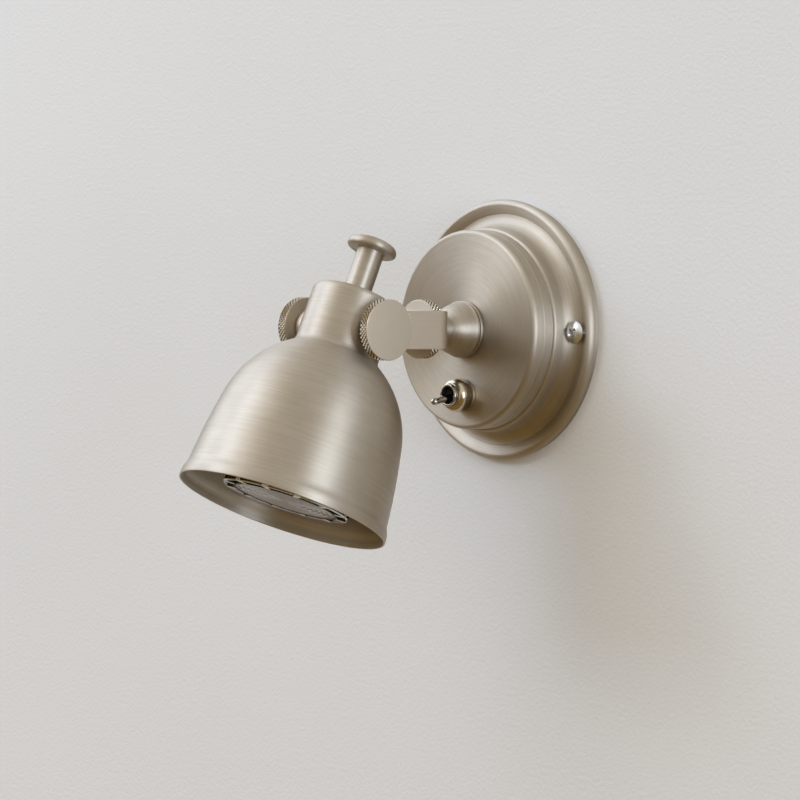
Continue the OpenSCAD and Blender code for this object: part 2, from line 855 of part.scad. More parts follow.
module bulb_rim() {
    open_a = 360 / bridges - bridge_a;
    color(steel) in_head(bulb_face_s - rim_l) difference() {
        rotate_extrude() rim_outline();
        for (i = [0:bridges - 1]) rotate([0, 0, i * 360 / bridges]) translate([0, 0, rim_l - vent_deep])
            rotate([0, 0, bridge_a / 2]) rotate_extrude(angle = open_a)
                translate([vent_in_r, 0]) square([vent_out_r - vent_in_r, vent_deep + over]);
        translate([0, 0, rim_l - lens_drop - lens_t]) disc(lens_r, rim_l);
    }
}

module rim_outline() {
    polygon([[0, 0], [housing_wide_r, 0], [bulb_r, rim_edge], [bulb_r, rim_l - rim_edge],
        [bulb_r - rim_edge, rim_l], [0, rim_l]]);
}

module bulb_lens() {
    color(white) in_head(bulb_face_s - lens_drop - lens_t) disc(lens_r, lens_t);
}

// Toggle switch
module switch_body() {
    color(black) at_switch(switch_top - switch_size.z) difference() {
        box_mid(switch_size);
        translate([0, 0, switch_size.z - switch_groove_t])
            ring(sleeve_r + switch_groove, sleeve_r - switch_groove, over + switch_groove_t);
    }
}

module switch_terminals() {
    color(brass) for (row = [-1, 0, 1])
        translate([0, 0, row * lug_pitch]) at_switch(switch_top - switch_size.z - lug_size.z)
            box_mid(lug_size);
}

module switch_sleeve() {
    color(steel) at_switch(switch_top) difference() {
        rotate_extrude() sleeve_outline();
        translate([0, 0, ball_h - switch_top]) sphere(r = ball_r + fit);
        translate([0, 0, ball_h - switch_top]) cylinder(r1 = throat_r, r2 = sleeve_bore_r, h = throat_l);
        translate([0, 0, ball_h - switch_top + throat_l]) disc(sleeve_bore_r, sleeve_out);
    }
}

module sleeve_outline() {
    l = sleeve_end - switch_top;
    polygon([[0, 0], [sleeve_r, 0], [sleeve_r, l - sleeve_edge], [sleeve_r - sleeve_edge, l], [0, l]]);
}

module switch_lock_nut() {
    color(zinc) at_switch(inner_face - lock_nut_t) hex_nut(lock_nut_af, sleeve_r + fit, lock_nut_t);
}

// Round nut outside, with a groove at its foot and a rounded shoulder
module switch_dome_nut() {
    nut_r = dome_nut_d / 2;
    nut_l = dome_straight + dome_shoulder;
    color(nickel) at_switch(plate_h) difference() {
        rotate_extrude() intersection() {
            union() {
                square([nut_r, dome_straight]);
                translate([nut_r - dome_shoulder, dome_straight]) circle(r = dome_shoulder);
                square([nut_r - dome_shoulder, nut_l]);
            }
            square([nut_r, nut_l]);
        }
        translate([0, 0, -over]) disc(sleeve_r + fit, nut_l + 2 * over);
    }
}

module switch_lever() {
    reach = plate_h + lever_out - ball_h;
    color(steel) at_switch(ball_h) rotate([lever_angle, 0, 0]) {
        sphere(r = ball_r);
        cylinder(r1 = stem_r, r2 = lever_tip_d / 2 - stem_in, h = reach - lever_tip_d / 2);
        translate([0, 0, reach - lever_tip_d / 2]) sphere(r = lever_tip_d / 2);
    }
}

wall_bracket();
terminal_block();
terminal_screws();
block_screw();
earth_screw();
backplate();
cover_screws();
hub();
threaded_tube();
tube_washer();
tube_nut();
tube_bush();
swivel_collar();
yoke();
yoke_washer();
yoke_nut();
left_knob();
right_knob();
pivot_bosses();
friction_washers();
shade();
aiming_post();
post_nut();
holder_bracket();
bracket_nuts();
lamp_holder();
holder_screws();
bulb_base();
bulb_pins();
bulb_housing();
bulb_rim();
bulb_lens();
switch_body();
switch_sleeve();
switch_terminals();
switch_lock_nut();
switch_dome_nut();
switch_lever();
lead_grommet();
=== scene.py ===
# %% [markdown]
# # A wall lamp with a bell shade, in satin nickel
# The lamp is a round backplate on the wall, a swivelling U-shaped yoke and a small bell shade that tilts
# between two knurled knobs. Nearly every visible piece was turned, spun or bent from metal, then brushed
# and plated. So this lesson is about three things: shapes that are one outline turned round an axis,
# cut patterns such as knurling, and a metal whose fine grain decides what its reflections look like.
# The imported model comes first. It is the fixed frame, and every piece made here sits on it.

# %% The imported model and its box
import json
import math
import bmesh
import bpy
import numpy as np
from mathutils import Matrix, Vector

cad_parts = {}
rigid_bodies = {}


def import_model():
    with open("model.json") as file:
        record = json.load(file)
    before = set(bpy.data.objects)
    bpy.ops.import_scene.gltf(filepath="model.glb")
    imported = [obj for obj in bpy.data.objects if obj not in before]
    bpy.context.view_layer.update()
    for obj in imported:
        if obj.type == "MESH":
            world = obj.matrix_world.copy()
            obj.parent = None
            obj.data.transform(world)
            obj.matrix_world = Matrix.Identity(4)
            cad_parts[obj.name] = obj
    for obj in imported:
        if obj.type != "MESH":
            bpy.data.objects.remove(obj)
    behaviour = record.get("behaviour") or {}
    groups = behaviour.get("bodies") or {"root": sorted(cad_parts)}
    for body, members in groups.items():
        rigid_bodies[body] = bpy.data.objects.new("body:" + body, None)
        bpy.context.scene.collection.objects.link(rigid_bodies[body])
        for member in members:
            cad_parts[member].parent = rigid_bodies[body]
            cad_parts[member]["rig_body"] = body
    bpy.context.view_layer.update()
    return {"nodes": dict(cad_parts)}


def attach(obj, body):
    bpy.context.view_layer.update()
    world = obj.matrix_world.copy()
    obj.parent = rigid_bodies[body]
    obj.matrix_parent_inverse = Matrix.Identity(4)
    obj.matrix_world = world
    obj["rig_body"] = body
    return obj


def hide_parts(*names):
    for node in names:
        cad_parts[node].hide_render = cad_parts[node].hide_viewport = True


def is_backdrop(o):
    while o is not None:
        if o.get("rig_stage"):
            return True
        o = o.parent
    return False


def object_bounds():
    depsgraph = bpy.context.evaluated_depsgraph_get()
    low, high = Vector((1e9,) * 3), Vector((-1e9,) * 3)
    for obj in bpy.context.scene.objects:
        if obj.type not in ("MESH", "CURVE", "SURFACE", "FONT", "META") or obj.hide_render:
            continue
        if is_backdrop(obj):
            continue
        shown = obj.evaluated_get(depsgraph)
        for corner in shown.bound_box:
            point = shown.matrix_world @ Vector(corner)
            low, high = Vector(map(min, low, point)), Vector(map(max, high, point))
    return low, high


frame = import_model()

# %% [markdown]
# ## Camera
# The photograph looks at the lamp from its right front, a little above, through a long lens: the near and
# far rims of the plate keep almost the same shape. A long lens far away gives that. The camera looks
# along one line, so its place is a point on the lamp plus a distance back along the line.

# %% Camera
MM = 0.001


def direction(azimuth, elevation):
    """A unit vector. Azimuth 0 points out of the wall, 90 to the right along it; elevation is above level."""
    a, e = math.radians(azimuth), math.radians(elevation)
    return np.array([math.sin(a) * math.cos(e), -math.cos(a) * math.cos(e), math.sin(e)])


def camera_frame(azimuth, elevation, roll):
    """Right, up and back of a camera that looks from that direction, then rolls round its own line."""
    a, r = math.radians(azimuth), math.radians(roll)
    back = direction(azimuth, elevation)
    right = np.array([math.cos(a), math.sin(a), 0])
    up = np.cross(back, right)
    return np.array([right * math.cos(r) + up * math.sin(r), up * math.cos(r) - right * math.sin(r), back])


view = camera_frame(azimuth=48.2, elevation=2.16, roll=1.16)
lens_mm, distance = 132.3, 1162.6
aim = np.array([0, -38.2, 0]) - 14.8 * view[0] - 28.0 * view[1]
eye = (aim + distance * view[2]) * MM
camera = bpy.data.objects.new("camera", bpy.data.cameras.new("camera"))
camera.data.lens, camera.data.sensor_width = lens_mm, 36
turn = np.eye(4)
turn[:3, :3], turn[:3, 3] = view.T, eye
camera.matrix_world = Matrix(turn.tolist())
bpy.context.collection.objects.link(camera)
bpy.context.scene.camera = camera
print("camera at", eye.round(3))

# %% [markdown]
# ## Colours and nodes
# Colours are written as on a screen, in hex, and one function turns them into the linear values that the
# renderer adds up. One more function adds a shader node, sets it up and links it, so that each material
# below reads as a short list of what it is made of.

# %% Colour and node helpers


def linear(code):
    """Screen value to linear light: value / 12.92 near black, else ((value + 0.055) / 1.055) ** 2.4."""
    v = np.array([int(code[i:i + 2], 16) / 255 for i in (1, 3, 5)])
    return tuple(np.where(v <= 0.04045, v / 12.92, ((v + 0.055) / 1.055) ** 2.4)) + (1.0,)


def add(tree, kind, inputs=None, **settings):
    """Adds one node: its settings, then each named input, which takes a value or another node's output."""
    node = tree.nodes.new(kind)
    for key, value in settings.items():
        setattr(node, key, value)
    for key, value in (inputs or {}).items():
        if isinstance(value, bpy.types.NodeSocket):
            tree.links.new(value, node.inputs[key])
        else:
            node.inputs[key].default_value = value
    return node


def maths(tree, operation, *values):
    """One sum on values or sockets, as a socket."""
    return add(tree, "ShaderNodeMath", dict(enumerate(values)), operation=operation).outputs[0]


def rescale(tree, value, low, high, to_low=0.0, to_high=1.0):
    """Carries a value from the range low to high over to another range, and stops at its ends."""
    return add(tree, "ShaderNodeMapRange", {"Value": value, "From Min": low, "From Max": high,
                                            "To Min": to_low, "To Max": to_high}).outputs[0]


def blend(tree, factor, colour, other):
    """Mixes two colours, or a colour and a socket, by a factor from 0 to 1."""
    return add(tree, "ShaderNodeMix", {"Factor": factor, "A": colour, "B": other},
               data_type="RGBA").outputs["Result"]


def mottle(tree, size, detail):
    """Noise on the object's own coordinates, with patches of about a size in metres."""
    where = add(tree, "ShaderNodeTexCoord")
    return add(tree, "ShaderNodeTexNoise", {"Vector": where.outputs["Object"], "Scale": 1 / size,
                                            "Detail": detail}).outputs["Fac"]


def bumps(tree, height, strength, depth):
    """A normal that is tilted by a height pattern of a depth in metres."""
    return add(tree, "ShaderNodeBump", {"Height": height, "Strength": strength,
                                        "Distance": depth}).outputs[0]


def new_material(name):
    """An empty node material: returns it, its node tree and its output node."""
    material = bpy.data.materials.new(name)
    material.use_nodes = True
    tree = material.node_tree
    tree.nodes.clear()
    return material, tree, add(tree, "ShaderNodeOutputMaterial")


# %% [markdown]
# ## Satin nickel
# The real finish is nickel plate over brass, brushed while the piece turned, so its scratches run round
# it. Light spreads widely across such scratches and hardly along them: that is anisotropy, and it draws
# the long soft stripes down the bell and the fans on the flat plate. The surface's own map says which way
# the scratches run: u goes round the piece once, v runs along its outline in metres.
# Real brush scratches are about 0.05 mm apart, too fine to see from here, so they are drawn at about
# 0.3 mm, the finest that this picture can show. Nickel is a yellowish metal, and the plate is lacquered.
# The strap has a finer grain, the flat faces of the knobs are blasted, and their knurls are rolled: bright
# on the diamonds, and darker in the grooves, partly oxide and partly painted shade.

# %% Satin nickel
SCRATCH, CLOUD = 0.3 * MM, 14 * MM
STREAKS = 3.0


def brushed_metal(name, colour, pale, roughness, spread, depth_mm=0.01):
    """Metal with a grain that follows u. Noise is read at (cos u, sin u) times STREAKS and v over the
    scratch width, so that it is long round the piece, short across it and closes without a seam.
    A second, coarser noise of the same kind draws the broader bands that a brushing belt leaves."""
    material, tree, out = new_material(name)
    uv = add(tree, "ShaderNodeUVMap", uv_map="grain")
    part = add(tree, "ShaderNodeSeparateXYZ", {"Vector": uv.outputs[0]})
    angle = maths(tree, "MULTIPLY", part.outputs["X"], 2 * math.pi)
    place = add(tree, "ShaderNodeCombineXYZ", {
        "X": maths(tree, "MULTIPLY", maths(tree, "COSINE", angle), STREAKS),
        "Y": maths(tree, "MULTIPLY", maths(tree, "SINE", angle), STREAKS),
        "Z": maths(tree, "MULTIPLY", part.outputs["Y"], 1 / SCRATCH)}).outputs[0]
    grain = add(tree, "ShaderNodeTexNoise",
                {"Vector": place, "Scale": 1.0, "Detail": 2.0, "Roughness": 0.6}).outputs["Fac"]
    band = add(tree, "ShaderNodeTexNoise", {"Vector": place, "Scale": 0.6, "Detail": 1.0}).outputs["Fac"]
    tone = maths(tree, "ADD", maths(tree, "ADD", grain, band), mottle(tree, CLOUD, 3.0))
    along = add(tree, "ShaderNodeTangent", direction_type="UV_MAP", uv_map="grain")
    metal = add(tree, "ShaderNodeBsdfPrincipled", {
        "Base Color": blend(tree, rescale(tree, tone, 0.8, 2.2), linear(colour), linear(pale)),
        "Metallic": 1.0, "Roughness": rescale(tree, grain, 0.3, 0.7, roughness - 0.03, roughness + 0.03),
        "Anisotropic": spread, "Anisotropic Rotation": 0.25, "Tangent": along.outputs[0],
        "Normal": bumps(tree, grain, 1.0, depth_mm * MM)})
    tree.links.new(metal.outputs[0], out.inputs["Surface"])
    return material


def plain_metal(name, colour, pale, roughness, scale_mm, depth_mm=0.01):
    """Metal without a grain direction: fine noise in its tone, roughness and height."""
    material, tree, out = new_material(name)
    noise = mottle(tree, scale_mm * MM, 4.0)
    metal = add(tree, "ShaderNodeBsdfPrincipled", {
        "Base Color": blend(tree, noise, linear(colour), linear(pale)), "Metallic": 1.0,
        "Roughness": rescale(tree, noise, 0.3, 0.7, roughness * 0.85, roughness * 1.15),
        "Normal": bumps(tree, noise, 0.5, depth_mm * MM)})
    tree.links.new(metal.outputs[0], out.inputs["Surface"])
    return material


satin_nickel = brushed_metal("brushed_satin_nickel", "#a39887", "#bbb09f", roughness=0.52, spread=0.68)
fine_nickel = brushed_metal("fine_satin_nickel", "#beb2a0", "#ccc0ae", roughness=0.5, spread=0.3,
                            depth_mm=0.004)
blasted_nickel = plain_metal("blasted_satin_nickel", "#b8ac9a", "#c6baa8", 0.5, 0.6, 0.006)
rolled_nickel = plain_metal("rolled_bright_nickel", "#beb3a1", "#cec4b3", 0.15, 0.8, 0.003)
groove_oxide_shade_nickel = plain_metal("groove_oxide_and_painted_shade_nickel", "#6a5f50", "#7d7262", 0.4, 0.8, 0.004)
bright_steel = brushed_metal("bright_nickel_plated_steel", "#cdcecd", "#dcdcdb", roughness=0.3, spread=0.2)
print("metals:", [m.name for m in bpy.data.materials])

# %% [markdown]
# ## Outlines
# A turned piece is drawn as half of its section: points of radius and height in millimetres. Two helpers
# make outlines. One rounds the corners of a few straight runs. The other, for the bell, lets each arc run
# on from the one before, which is how a spun shade flows from neck to shoulder to skirt.

# %% Outline helpers


def rounded(corners, steps=6):
    """Corners [x, y, radius]. An arc tangent to both sides replaces each corner: it starts at a distance of
    radius / tan(half the corner's angle) before the corner and ends as far after it."""
    corners = np.array([list(c) + [0] * (3 - len(c)) for c in corners], float)
    points = []
    for before, here, after in zip(np.roll(corners, 1, 0), corners, np.roll(corners, -1, 0)):
        p, radius = here[:2], here[2]
        if radius == 0:
            points.append(p[None])
            continue
        to_before = (before[:2] - p) / np.linalg.norm(before[:2] - p)
        to_after = (after[:2] - p) / np.linalg.norm(after[:2] - p)
        half = math.acos(np.clip(to_before @ to_after, -1, 1)) / 2
        middle = p + (to_before + to_after) / np.linalg.norm(to_before + to_after) * radius / math.sin(half)
        start = p + to_before * radius / math.tan(half) - middle
        end = p + to_after * radius / math.tan(half) - middle
        total = math.atan2(start[0] * end[1] - start[1] * end[0], start @ end)
        a = np.linspace(0, total, max(2, int(steps * abs(total) / (math.pi / 2)) + 2))
        swing = np.stack([start[0] * np.cos(a) - start[1] * np.sin(a),
                          start[0] * np.sin(a) + start[1] * np.cos(a)], 1)
        points.append(middle + swing)
    return np.concatenate(points)


def arc(middle, radius, start, end, steps=12):
    """Points on a circle from one angle to another, in degrees, anticlockwise from the radius direction."""
    a = np.radians(np.linspace(start, end, steps + 1))
    return np.array(middle) + radius * np.stack([np.cos(a), np.sin(a)], 1)


def bell_arcs(start, arcs, step=2.0):
    """Points [radius, distance, heading] of arcs that run on from each other. Each arc is [radius, end
    heading]. Its centre lies square to the heading, on the side towards which the heading grows."""
    points = [np.array(start, float)]
    for radius, to in arcs:
        x, y, heading = points[-1]
        side = 1 if to > heading else -1
        h = np.linspace(heading, to, max(4, int(abs(to - heading) / step)) + 1)[1:]
        a0, a = math.radians(heading), np.radians(h)
        mx, my = x + side * radius * math.cos(a0), y - side * radius * math.sin(a0)
        points += list(np.stack([mx - side * radius * np.cos(a), my + side * radius * np.sin(a), h], 1))
    return np.array(points)


# %% [markdown]
# ## From an outline to a mesh
# Each piece is worked out in its own plain frame, a and b across and h along its axis, in millimetres,
# and placed by one small table of directions. A grid of points becomes a mesh with one face for each
# cell, and the grain map comes from the same grid. Points that fall together, as at a pole, are merged,
# and the faces are then turned to point outwards.

# %% Places and meshes
TILT, PIVOT = 23.1, 86.7
SWITCH_DROP = 26.2
lean = math.radians(180 - TILT)
FROM_WALL = (np.array([[1, 0, 0], [0, 0, 1], [0, -1, 0]]), np.zeros(3))
AT_SWITCH = (FROM_WALL[0], np.array([0, 0, -SWITCH_DROP]))
IN_HEAD = (np.array([[1, 0, 0], [0, math.cos(lean), math.sin(lean)], [0, -math.sin(lean), math.cos(lean)]]),
           np.array([0, -PIVOT, 0]))


def at_pivot(side):
    """The frame of one tilt pivot: h runs outwards along the tilt axis, to the right for side 1."""
    return np.array([[0, 0, -side], [0, 1, 0], [side, 0, 0]]), np.array([0, -PIVOT, 0])


def grid_mesh(name, points, where, grain, close_rows=False, flip=None):
    """A mesh over a grid of points [row, column, abh]. Cell corners are (i, j), (i, j+1), (i+1, j+1),
    (i+1, j). grain is [row, column, uv] with one column and row more than the cells need."""
    rows, columns = points.shape[:2]
    i, j = np.meshgrid(np.arange(rows if close_rows else rows - 1), np.arange(columns), indexing="ij")
    i, j = i.ravel(), j.ravel()
    i2, j2 = (i + 1) % rows, (j + 1) % columns
    quads = np.stack([i * columns + j, i * columns + j2, i2 * columns + j2, i2 * columns + j], 1)
    map_uv = np.stack([grain[i, j], grain[i, j + 1], grain[i + 1, j + 1], grain[i + 1, j]], 1)
    mesh = bpy.data.meshes.new(name)
    axes, origin = where
    mesh.from_pydata(((points.reshape(-1, 3) @ axes + origin) * MM).tolist(), [], quads.tolist())
    layer = mesh.uv_layers.new(name="grain")
    layer.data.foreach_set("uv", map_uv.ravel().astype(np.float32))
    if flip is not None:
        split_cells(mesh, flip.ravel())
    return tidy_mesh(mesh)


def split_cells(mesh, flip):
    """Cuts each four-sided face in two along one diagonal, or along the other where flip is true."""
    shape = bmesh.new()
    shape.from_mesh(mesh)
    shape.faces.ensure_lookup_table()
    plain = [f for f, other in zip(shape.faces, flip) if not other]
    other = [f for f, other in zip(shape.faces, flip) if other]
    bmesh.ops.triangulate(shape, faces=plain, quad_method="FIXED")
    bmesh.ops.triangulate(shape, faces=other, quad_method="ALTERNATE")
    shape.to_mesh(mesh)
    shape.free()


def smooth(mesh, sharp=32):
    """Shades a mesh smooth where its faces meet at less than an angle in degrees."""
    mesh.shade_smooth()
    mesh.set_sharp_from_angle(angle=math.radians(sharp))
    return mesh


def tidy_mesh(mesh):
    """Merges points that fall together, turns the faces outwards and shades them smooth."""
    shape = bmesh.new()
    shape.from_mesh(mesh)
    bmesh.ops.remove_doubles(shape, verts=shape.verts, dist=1e-6)
    bmesh.ops.dissolve_degenerate(shape, edges=shape.edges, dist=1e-7)
    bmesh.ops.recalc_face_normals(shape, faces=shape.faces)
    shape.to_mesh(mesh)
    shape.free()
    return smooth(mesh)


def turned(name, outline, where, sides=128, closed=True):
    """Turns an outline [radius, height] round h: (r cos t, r sin t, h). u is t as a share of a whole turn,
    v is the length along the outline in metres."""
    outline = np.asarray(outline, float)
    t = np.linspace(0, 2 * math.pi, sides, endpoint=False)
    r, h = outline[:, :1], outline[:, 1:2]
    points = np.stack([r * np.cos(t), r * np.sin(t), h + 0 * t], 2)
    loop = np.concatenate([outline, outline[:1]]) if closed else outline
    run = np.concatenate([[0], np.cumsum(np.linalg.norm(np.diff(loop, axis=0), axis=1))]) * MM
    u, v = np.meshgrid(np.linspace(0, 1, sides + 1), run)
    return grid_mesh(name, points, where, np.stack([u, v], 2), close_rows=closed)


def piece(name, mesh, material, node, also=()):
    """Makes the object, lets it ride on the body of the model's node and stand for that node."""
    obj = bpy.data.objects.new(name, mesh)
    bpy.context.collection.objects.link(obj)
    for m in material if isinstance(material, (list, tuple)) else [material]:
        mesh.materials.append(m)
    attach(obj, frame["nodes"][node]["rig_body"])
    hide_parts(node, *also)
    print(f"{name}: {len(mesh.polygons)} faces, stands for {node}")
    return obj


def carve(mesh, tools, how="DIFFERENCE"):
    """Cuts the tool meshes out of a mesh, or joins or keeps what they share, with the exact solver."""
    work = bpy.data.objects.new("work", mesh)
    bpy.context.collection.objects.link(work)
    for tool in tools:
        cutter = bpy.data.objects.new("cutter", tool)
        bpy.context.collection.objects.link(cutter)
        step = work.modifiers.new("cut", "BOOLEAN")
        step.operation, step.object, step.solver = how, cutter, "EXACT"
        result = bpy.data.meshes.new_from_object(work.evaluated_get(bpy.context.evaluated_depsgraph_get()))
        work.modifiers.remove(step)
        work.data = result
        bpy.data.objects.remove(cutter)
    result = work.data
    bpy.data.objects.remove(work)
    result.name = mesh.name
    return tidy_mesh(result)


def face_middles(mesh, where):
    """The middle of every face in a frame: radius, angle and height, in millimetres."""
    middles = np.zeros(len(mesh.polygons) * 3)
    mesh.polygons.foreach_get("center", middles)
    a, b, h = ((middles.reshape(-1, 3) / MM - where[1]) @ where[0].T).T
    return np.hypot(a, b), np.arctan2(b, a), h


def dress_faces(mesh, which):
    """Gives each face the material with that number in the piece's list."""
    mesh.polygons.foreach_set("material_index", np.asarray(which).astype(np.int32))


def rod(name, where, radius, start, end, centre=(0, 0), sides=64):
    """A plain cylinder in a frame, moved to a centre: a tool for carve."""
    axes, origin = where
    shift = origin + np.array([centre[0], centre[1], 0]) @ axes
    outline = [[0, start], [radius, start], [radius, end], [0, end]]
    return turned(name, outline, (axes, shift), sides, closed=False)


# %% [markdown]
# ## Backplate
# The cover is pressed from 1 mm sheet: a rolled rim that stands on the wall, a shallow groove, a hollow
# cove that sweeps up to a small step, and a drum with a flat, ring-brushed front. Its outline is followed
# once outside and once inside, so it is a real sheet with an open back. Two cover screws sit in round
# seats cut into the foot of the cove. A line is scribed round the drum's side. The seats' own metal is cut
# from a solid that keeps SUNK below the sheet's surface, so that the two never share a face.

# %% Backplate
PLATE_R, DRUM_R, PLATE_H, SHEET = 52.5, 39.8, 23.3, 1.0
COVE_R, GROOVE_H, STEP_W, STEP_TOP = 5.2, 4.1, 1.1, 13.4
RIM_R, RIM_H, SKIRT_IN, EDGE_R = 2.3, 5.8, 0.9, 1.8
TUBE_HOLE_R, SLEEVE_HOLE_R = 5.05, 4.55
COVER_X, SEAT_R, SEAT_H, SEAT_TOP = 45.3, 4.5, 6.7, 8.95
LINE_H, LINE_DEEP, SCREW_HOLE_R = 17.8, 0.22, 2.3
SUNK = 0.2


def plate_side(inset):
    """The pressed outline from the drum's front down to the wall, moved inwards by inset."""
    wall_r, cove_mid = DRUM_R + STEP_W, (DRUM_R + STEP_W + COVE_R, GROOVE_H + COVE_R)
    rim_mid = (PLATE_R - RIM_R, RIM_H - RIM_R)
    front = arc((DRUM_R - EDGE_R, PLATE_H - EDGE_R), EDGE_R - inset, 90, 0)
    step = arc((DRUM_R, STEP_TOP - STEP_W), STEP_W, 90, 0, 8) if inset == 0 else \
        np.array([[DRUM_R - inset, STEP_TOP - STEP_W], [wall_r - inset, STEP_TOP - STEP_W]])
    cove = arc(cove_mid, COVE_R + inset, 180, 270, 16)
    under = -math.degrees(math.acos((PLATE_R - SKIRT_IN - rim_mid[0]) / RIM_R))
    rim = arc(rim_mid, RIM_R - inset, 90, under, 20)
    scribe = groove = np.empty((0, 2))
    if inset == 0:
        scribe = np.array([[0, 0.25], [-LINE_DEEP, 0], [0, -0.25]]) + [DRUM_R, LINE_H]
        groove = np.array([[-0.2, 0.02], [0, -0.12], [0.2, 0.02]]) + [cove_mid[0] + 0.4, GROOVE_H]
    foot = [[PLATE_R - SKIRT_IN - inset, 0]]
    return np.concatenate([front, scribe, step, cove, groove, rim, foot])


outside = plate_side(0)
sheet_outline = np.concatenate([[[TUBE_HOLE_R, PLATE_H]], outside, plate_side(SHEET)[::-1],
                                [[TUBE_HOLE_R, PLATE_H - SHEET]]])
plate = turned("backplate_cover", sheet_outline, FROM_WALL, sides=256)
solid_outline = np.concatenate([[[0, PLATE_H - SUNK]], plate_side(SUNK), [[0, 0]]])
seats = []
for side in (-1, 1):
    whole = turned("whole", solid_outline, FROM_WALL, sides=256, closed=False)
    seats.append(carve(whole, [rod("seat", FROM_WALL, SEAT_R + SHEET, SEAT_H - SHEET, STEP_TOP - SHEET,
                                   (side * COVER_X, 0))], "INTERSECT"))
plate = carve(plate, seats, "UNION")
pockets = [rod("pocket", FROM_WALL, SEAT_R, SEAT_H, SEAT_TOP, (side * COVER_X, 0)) for side in (-1, 1)]
holes = [rod("hole", FROM_WALL, SCREW_HOLE_R, 0, PLATE_H, (side * COVER_X, 0)) for side in (-1, 1)]
switch_hole = rod("switch_hole", AT_SWITCH, SLEEVE_HOLE_R, PLATE_H - 3, PLATE_H + 3)
plate = carve(plate, pockets + holes + [switch_hole])
piece("backplate_cover", plate, satin_nickel, "backplate")

# %% [markdown]
# ## Hub
# A turned bun on the drum's front: a thin rounded collar, a fine dark groove, a lip with a bright edge,
# and a dome that ends in the neck behind the swivel collar. With u running from 0 at the lip to 1 at the
# end, the dome's radius is 11.0 - 2.6 u - 2.4 u^4: nearly straight at first, then closing fast.

# %% Hub
HUB_R, HUB_H, NECK_R, NECK_END = 11.3, 12.3, 6.0, 16.7
LIP_START, LIP_END, NARROW, CLOSE = 2.2, 3.4, 2.6, 2.4
u = np.linspace(0, 1, 21)[:, None]
dome = np.concatenate([HUB_R - 0.3 - NARROW * u - CLOSE * u ** 4, LIP_END + (HUB_H - LIP_END) * u], 1)
hub_outline = np.concatenate([
    rounded([[TUBE_HOLE_R, 0], [HUB_R - 0.7, 0], [HUB_R - 0.7, 0.45], [HUB_R, 0.45, 0.4], [HUB_R, 1.65, 0.4],
             [HUB_R - 1.1, 1.65], [HUB_R - 1.1, LIP_START], [HUB_R, LIP_START, 0.2], [HUB_R, LIP_END - 0.3]]),
    dome, rounded([[NECK_R, HUB_H], [NECK_R, NECK_END], [TUBE_HOLE_R, NECK_END]])])
hub_outline = hub_outline + [0, PLATE_H]
piece("hub_bun", turned("hub_bun", hub_outline, FROM_WALL), satin_nickel, "hub")

# %% [markdown]
# ## Knurled knobs and collar
# Three pieces share one pattern: a diamond knurl, rolled into the rim by two wheels with crossed teeth.
# Both families of grooves are straight lines on the unrolled rim, so with u and v counted in diamonds
# the height is 1 - 2 max(|frac(u+v) - 1/2|, |frac(u-v) - 1/2|): a pyramid in each diamond. The tips are
# cut flat as on real knurls, by stretching the height until the top sixth passes 1. Each cell is split
# along its groove, which keeps the grooves crisp with few faces, and the faces next to a groove take a
# darker metal, partly oxide and partly painted shade. There are 46 diamonds round the rim, 1.61 mm each.

# %% Knurled rims
KNOB_R, KNOB_T, FACE_R = 11.8, 4.1, 11.5
DIAMONDS, CUT, STRETCH, GROOVE = 46, 0.7, 1.2, 0.4
CELLS, ROWS, FACE_EDGE = 6, 7, 0.22


def knurled(name, where, start, inner, outer):
    """A knurled rim between two plain outlines, inner and outer, that run out to its edges. Rows are
    spaced by one sixth of a diamond, seven each way from the middle."""
    pitch = 2 * math.pi * KNOB_R / DIAMONDS
    h = KNOB_T / 2 + np.arange(-ROWS, ROWS + 1) * pitch / CELLS
    columns = DIAMONDS * CELLS
    t = np.linspace(0, 2 * math.pi, columns, endpoint=False)
    across, along = np.meshgrid(t / (2 * math.pi) * DIAMONDS, (h - KNOB_T / 2) / pitch)
    f1, f2 = (across + along) % 1, (across - along) % 1
    height = np.clip((1 - 2 * np.maximum(abs(f1 - 0.5), abs(f2 - 0.5))) * STRETCH, 0, 1)
    rim_r = KNOB_R - CUT * (1 - height)
    inner, outer = np.asarray(inner, float), np.asarray(outer, float)
    radius = np.concatenate([np.repeat(inner[:, :1], columns, 1), rim_r, np.repeat(outer[:, :1], columns, 1)])
    level = np.concatenate([inner[:, 1], h + start, outer[:, 1]])
    points = np.stack([radius * np.cos(t), radius * np.sin(t), level[:, None] + 0 * t], 2)
    run = np.concatenate([[0], np.cumsum(np.hypot(np.diff(radius[:, 0]), np.diff(level)))]) * MM
    uu, vv = np.meshgrid(np.linspace(0, 1, columns + 1), run)
    steep = np.zeros((len(level) - 1, columns), bool)
    mid_a = across[:-1] + 0.5 / CELLS
    mid_b = along[:-1] + 0.5 * (h[1] - h[0]) / pitch
    g1, g2 = abs((mid_a + mid_b) % 1 - 0.5), abs((mid_a - mid_b) % 1 - 0.5)
    steep[len(inner):len(inner) + len(h) - 1] = g1 > g2
    mesh = grid_mesh(name, points, where, np.stack([uu, vv], 2), flip=steep)
    face_r, turn, face_h = face_middles(mesh, where)
    off_middle = face_h - start - KNOB_T / 2
    on_knurl = (face_r > KNOB_R - CUT - 0.1) & (abs(off_middle) < KNOB_T / 2 - 0.1)
    a, b = turn / (2 * math.pi) * DIAMONDS, off_middle / pitch
    # the faces in the grooves take the darker metal: partly oxide, partly painted shade
    in_groove = np.maximum(abs((a + b) % 1 - 0.5), abs((a - b) % 1 - 0.5)) > GROOVE
    dress_faces(mesh, on_knurl * (1 + in_groove))
    return mesh


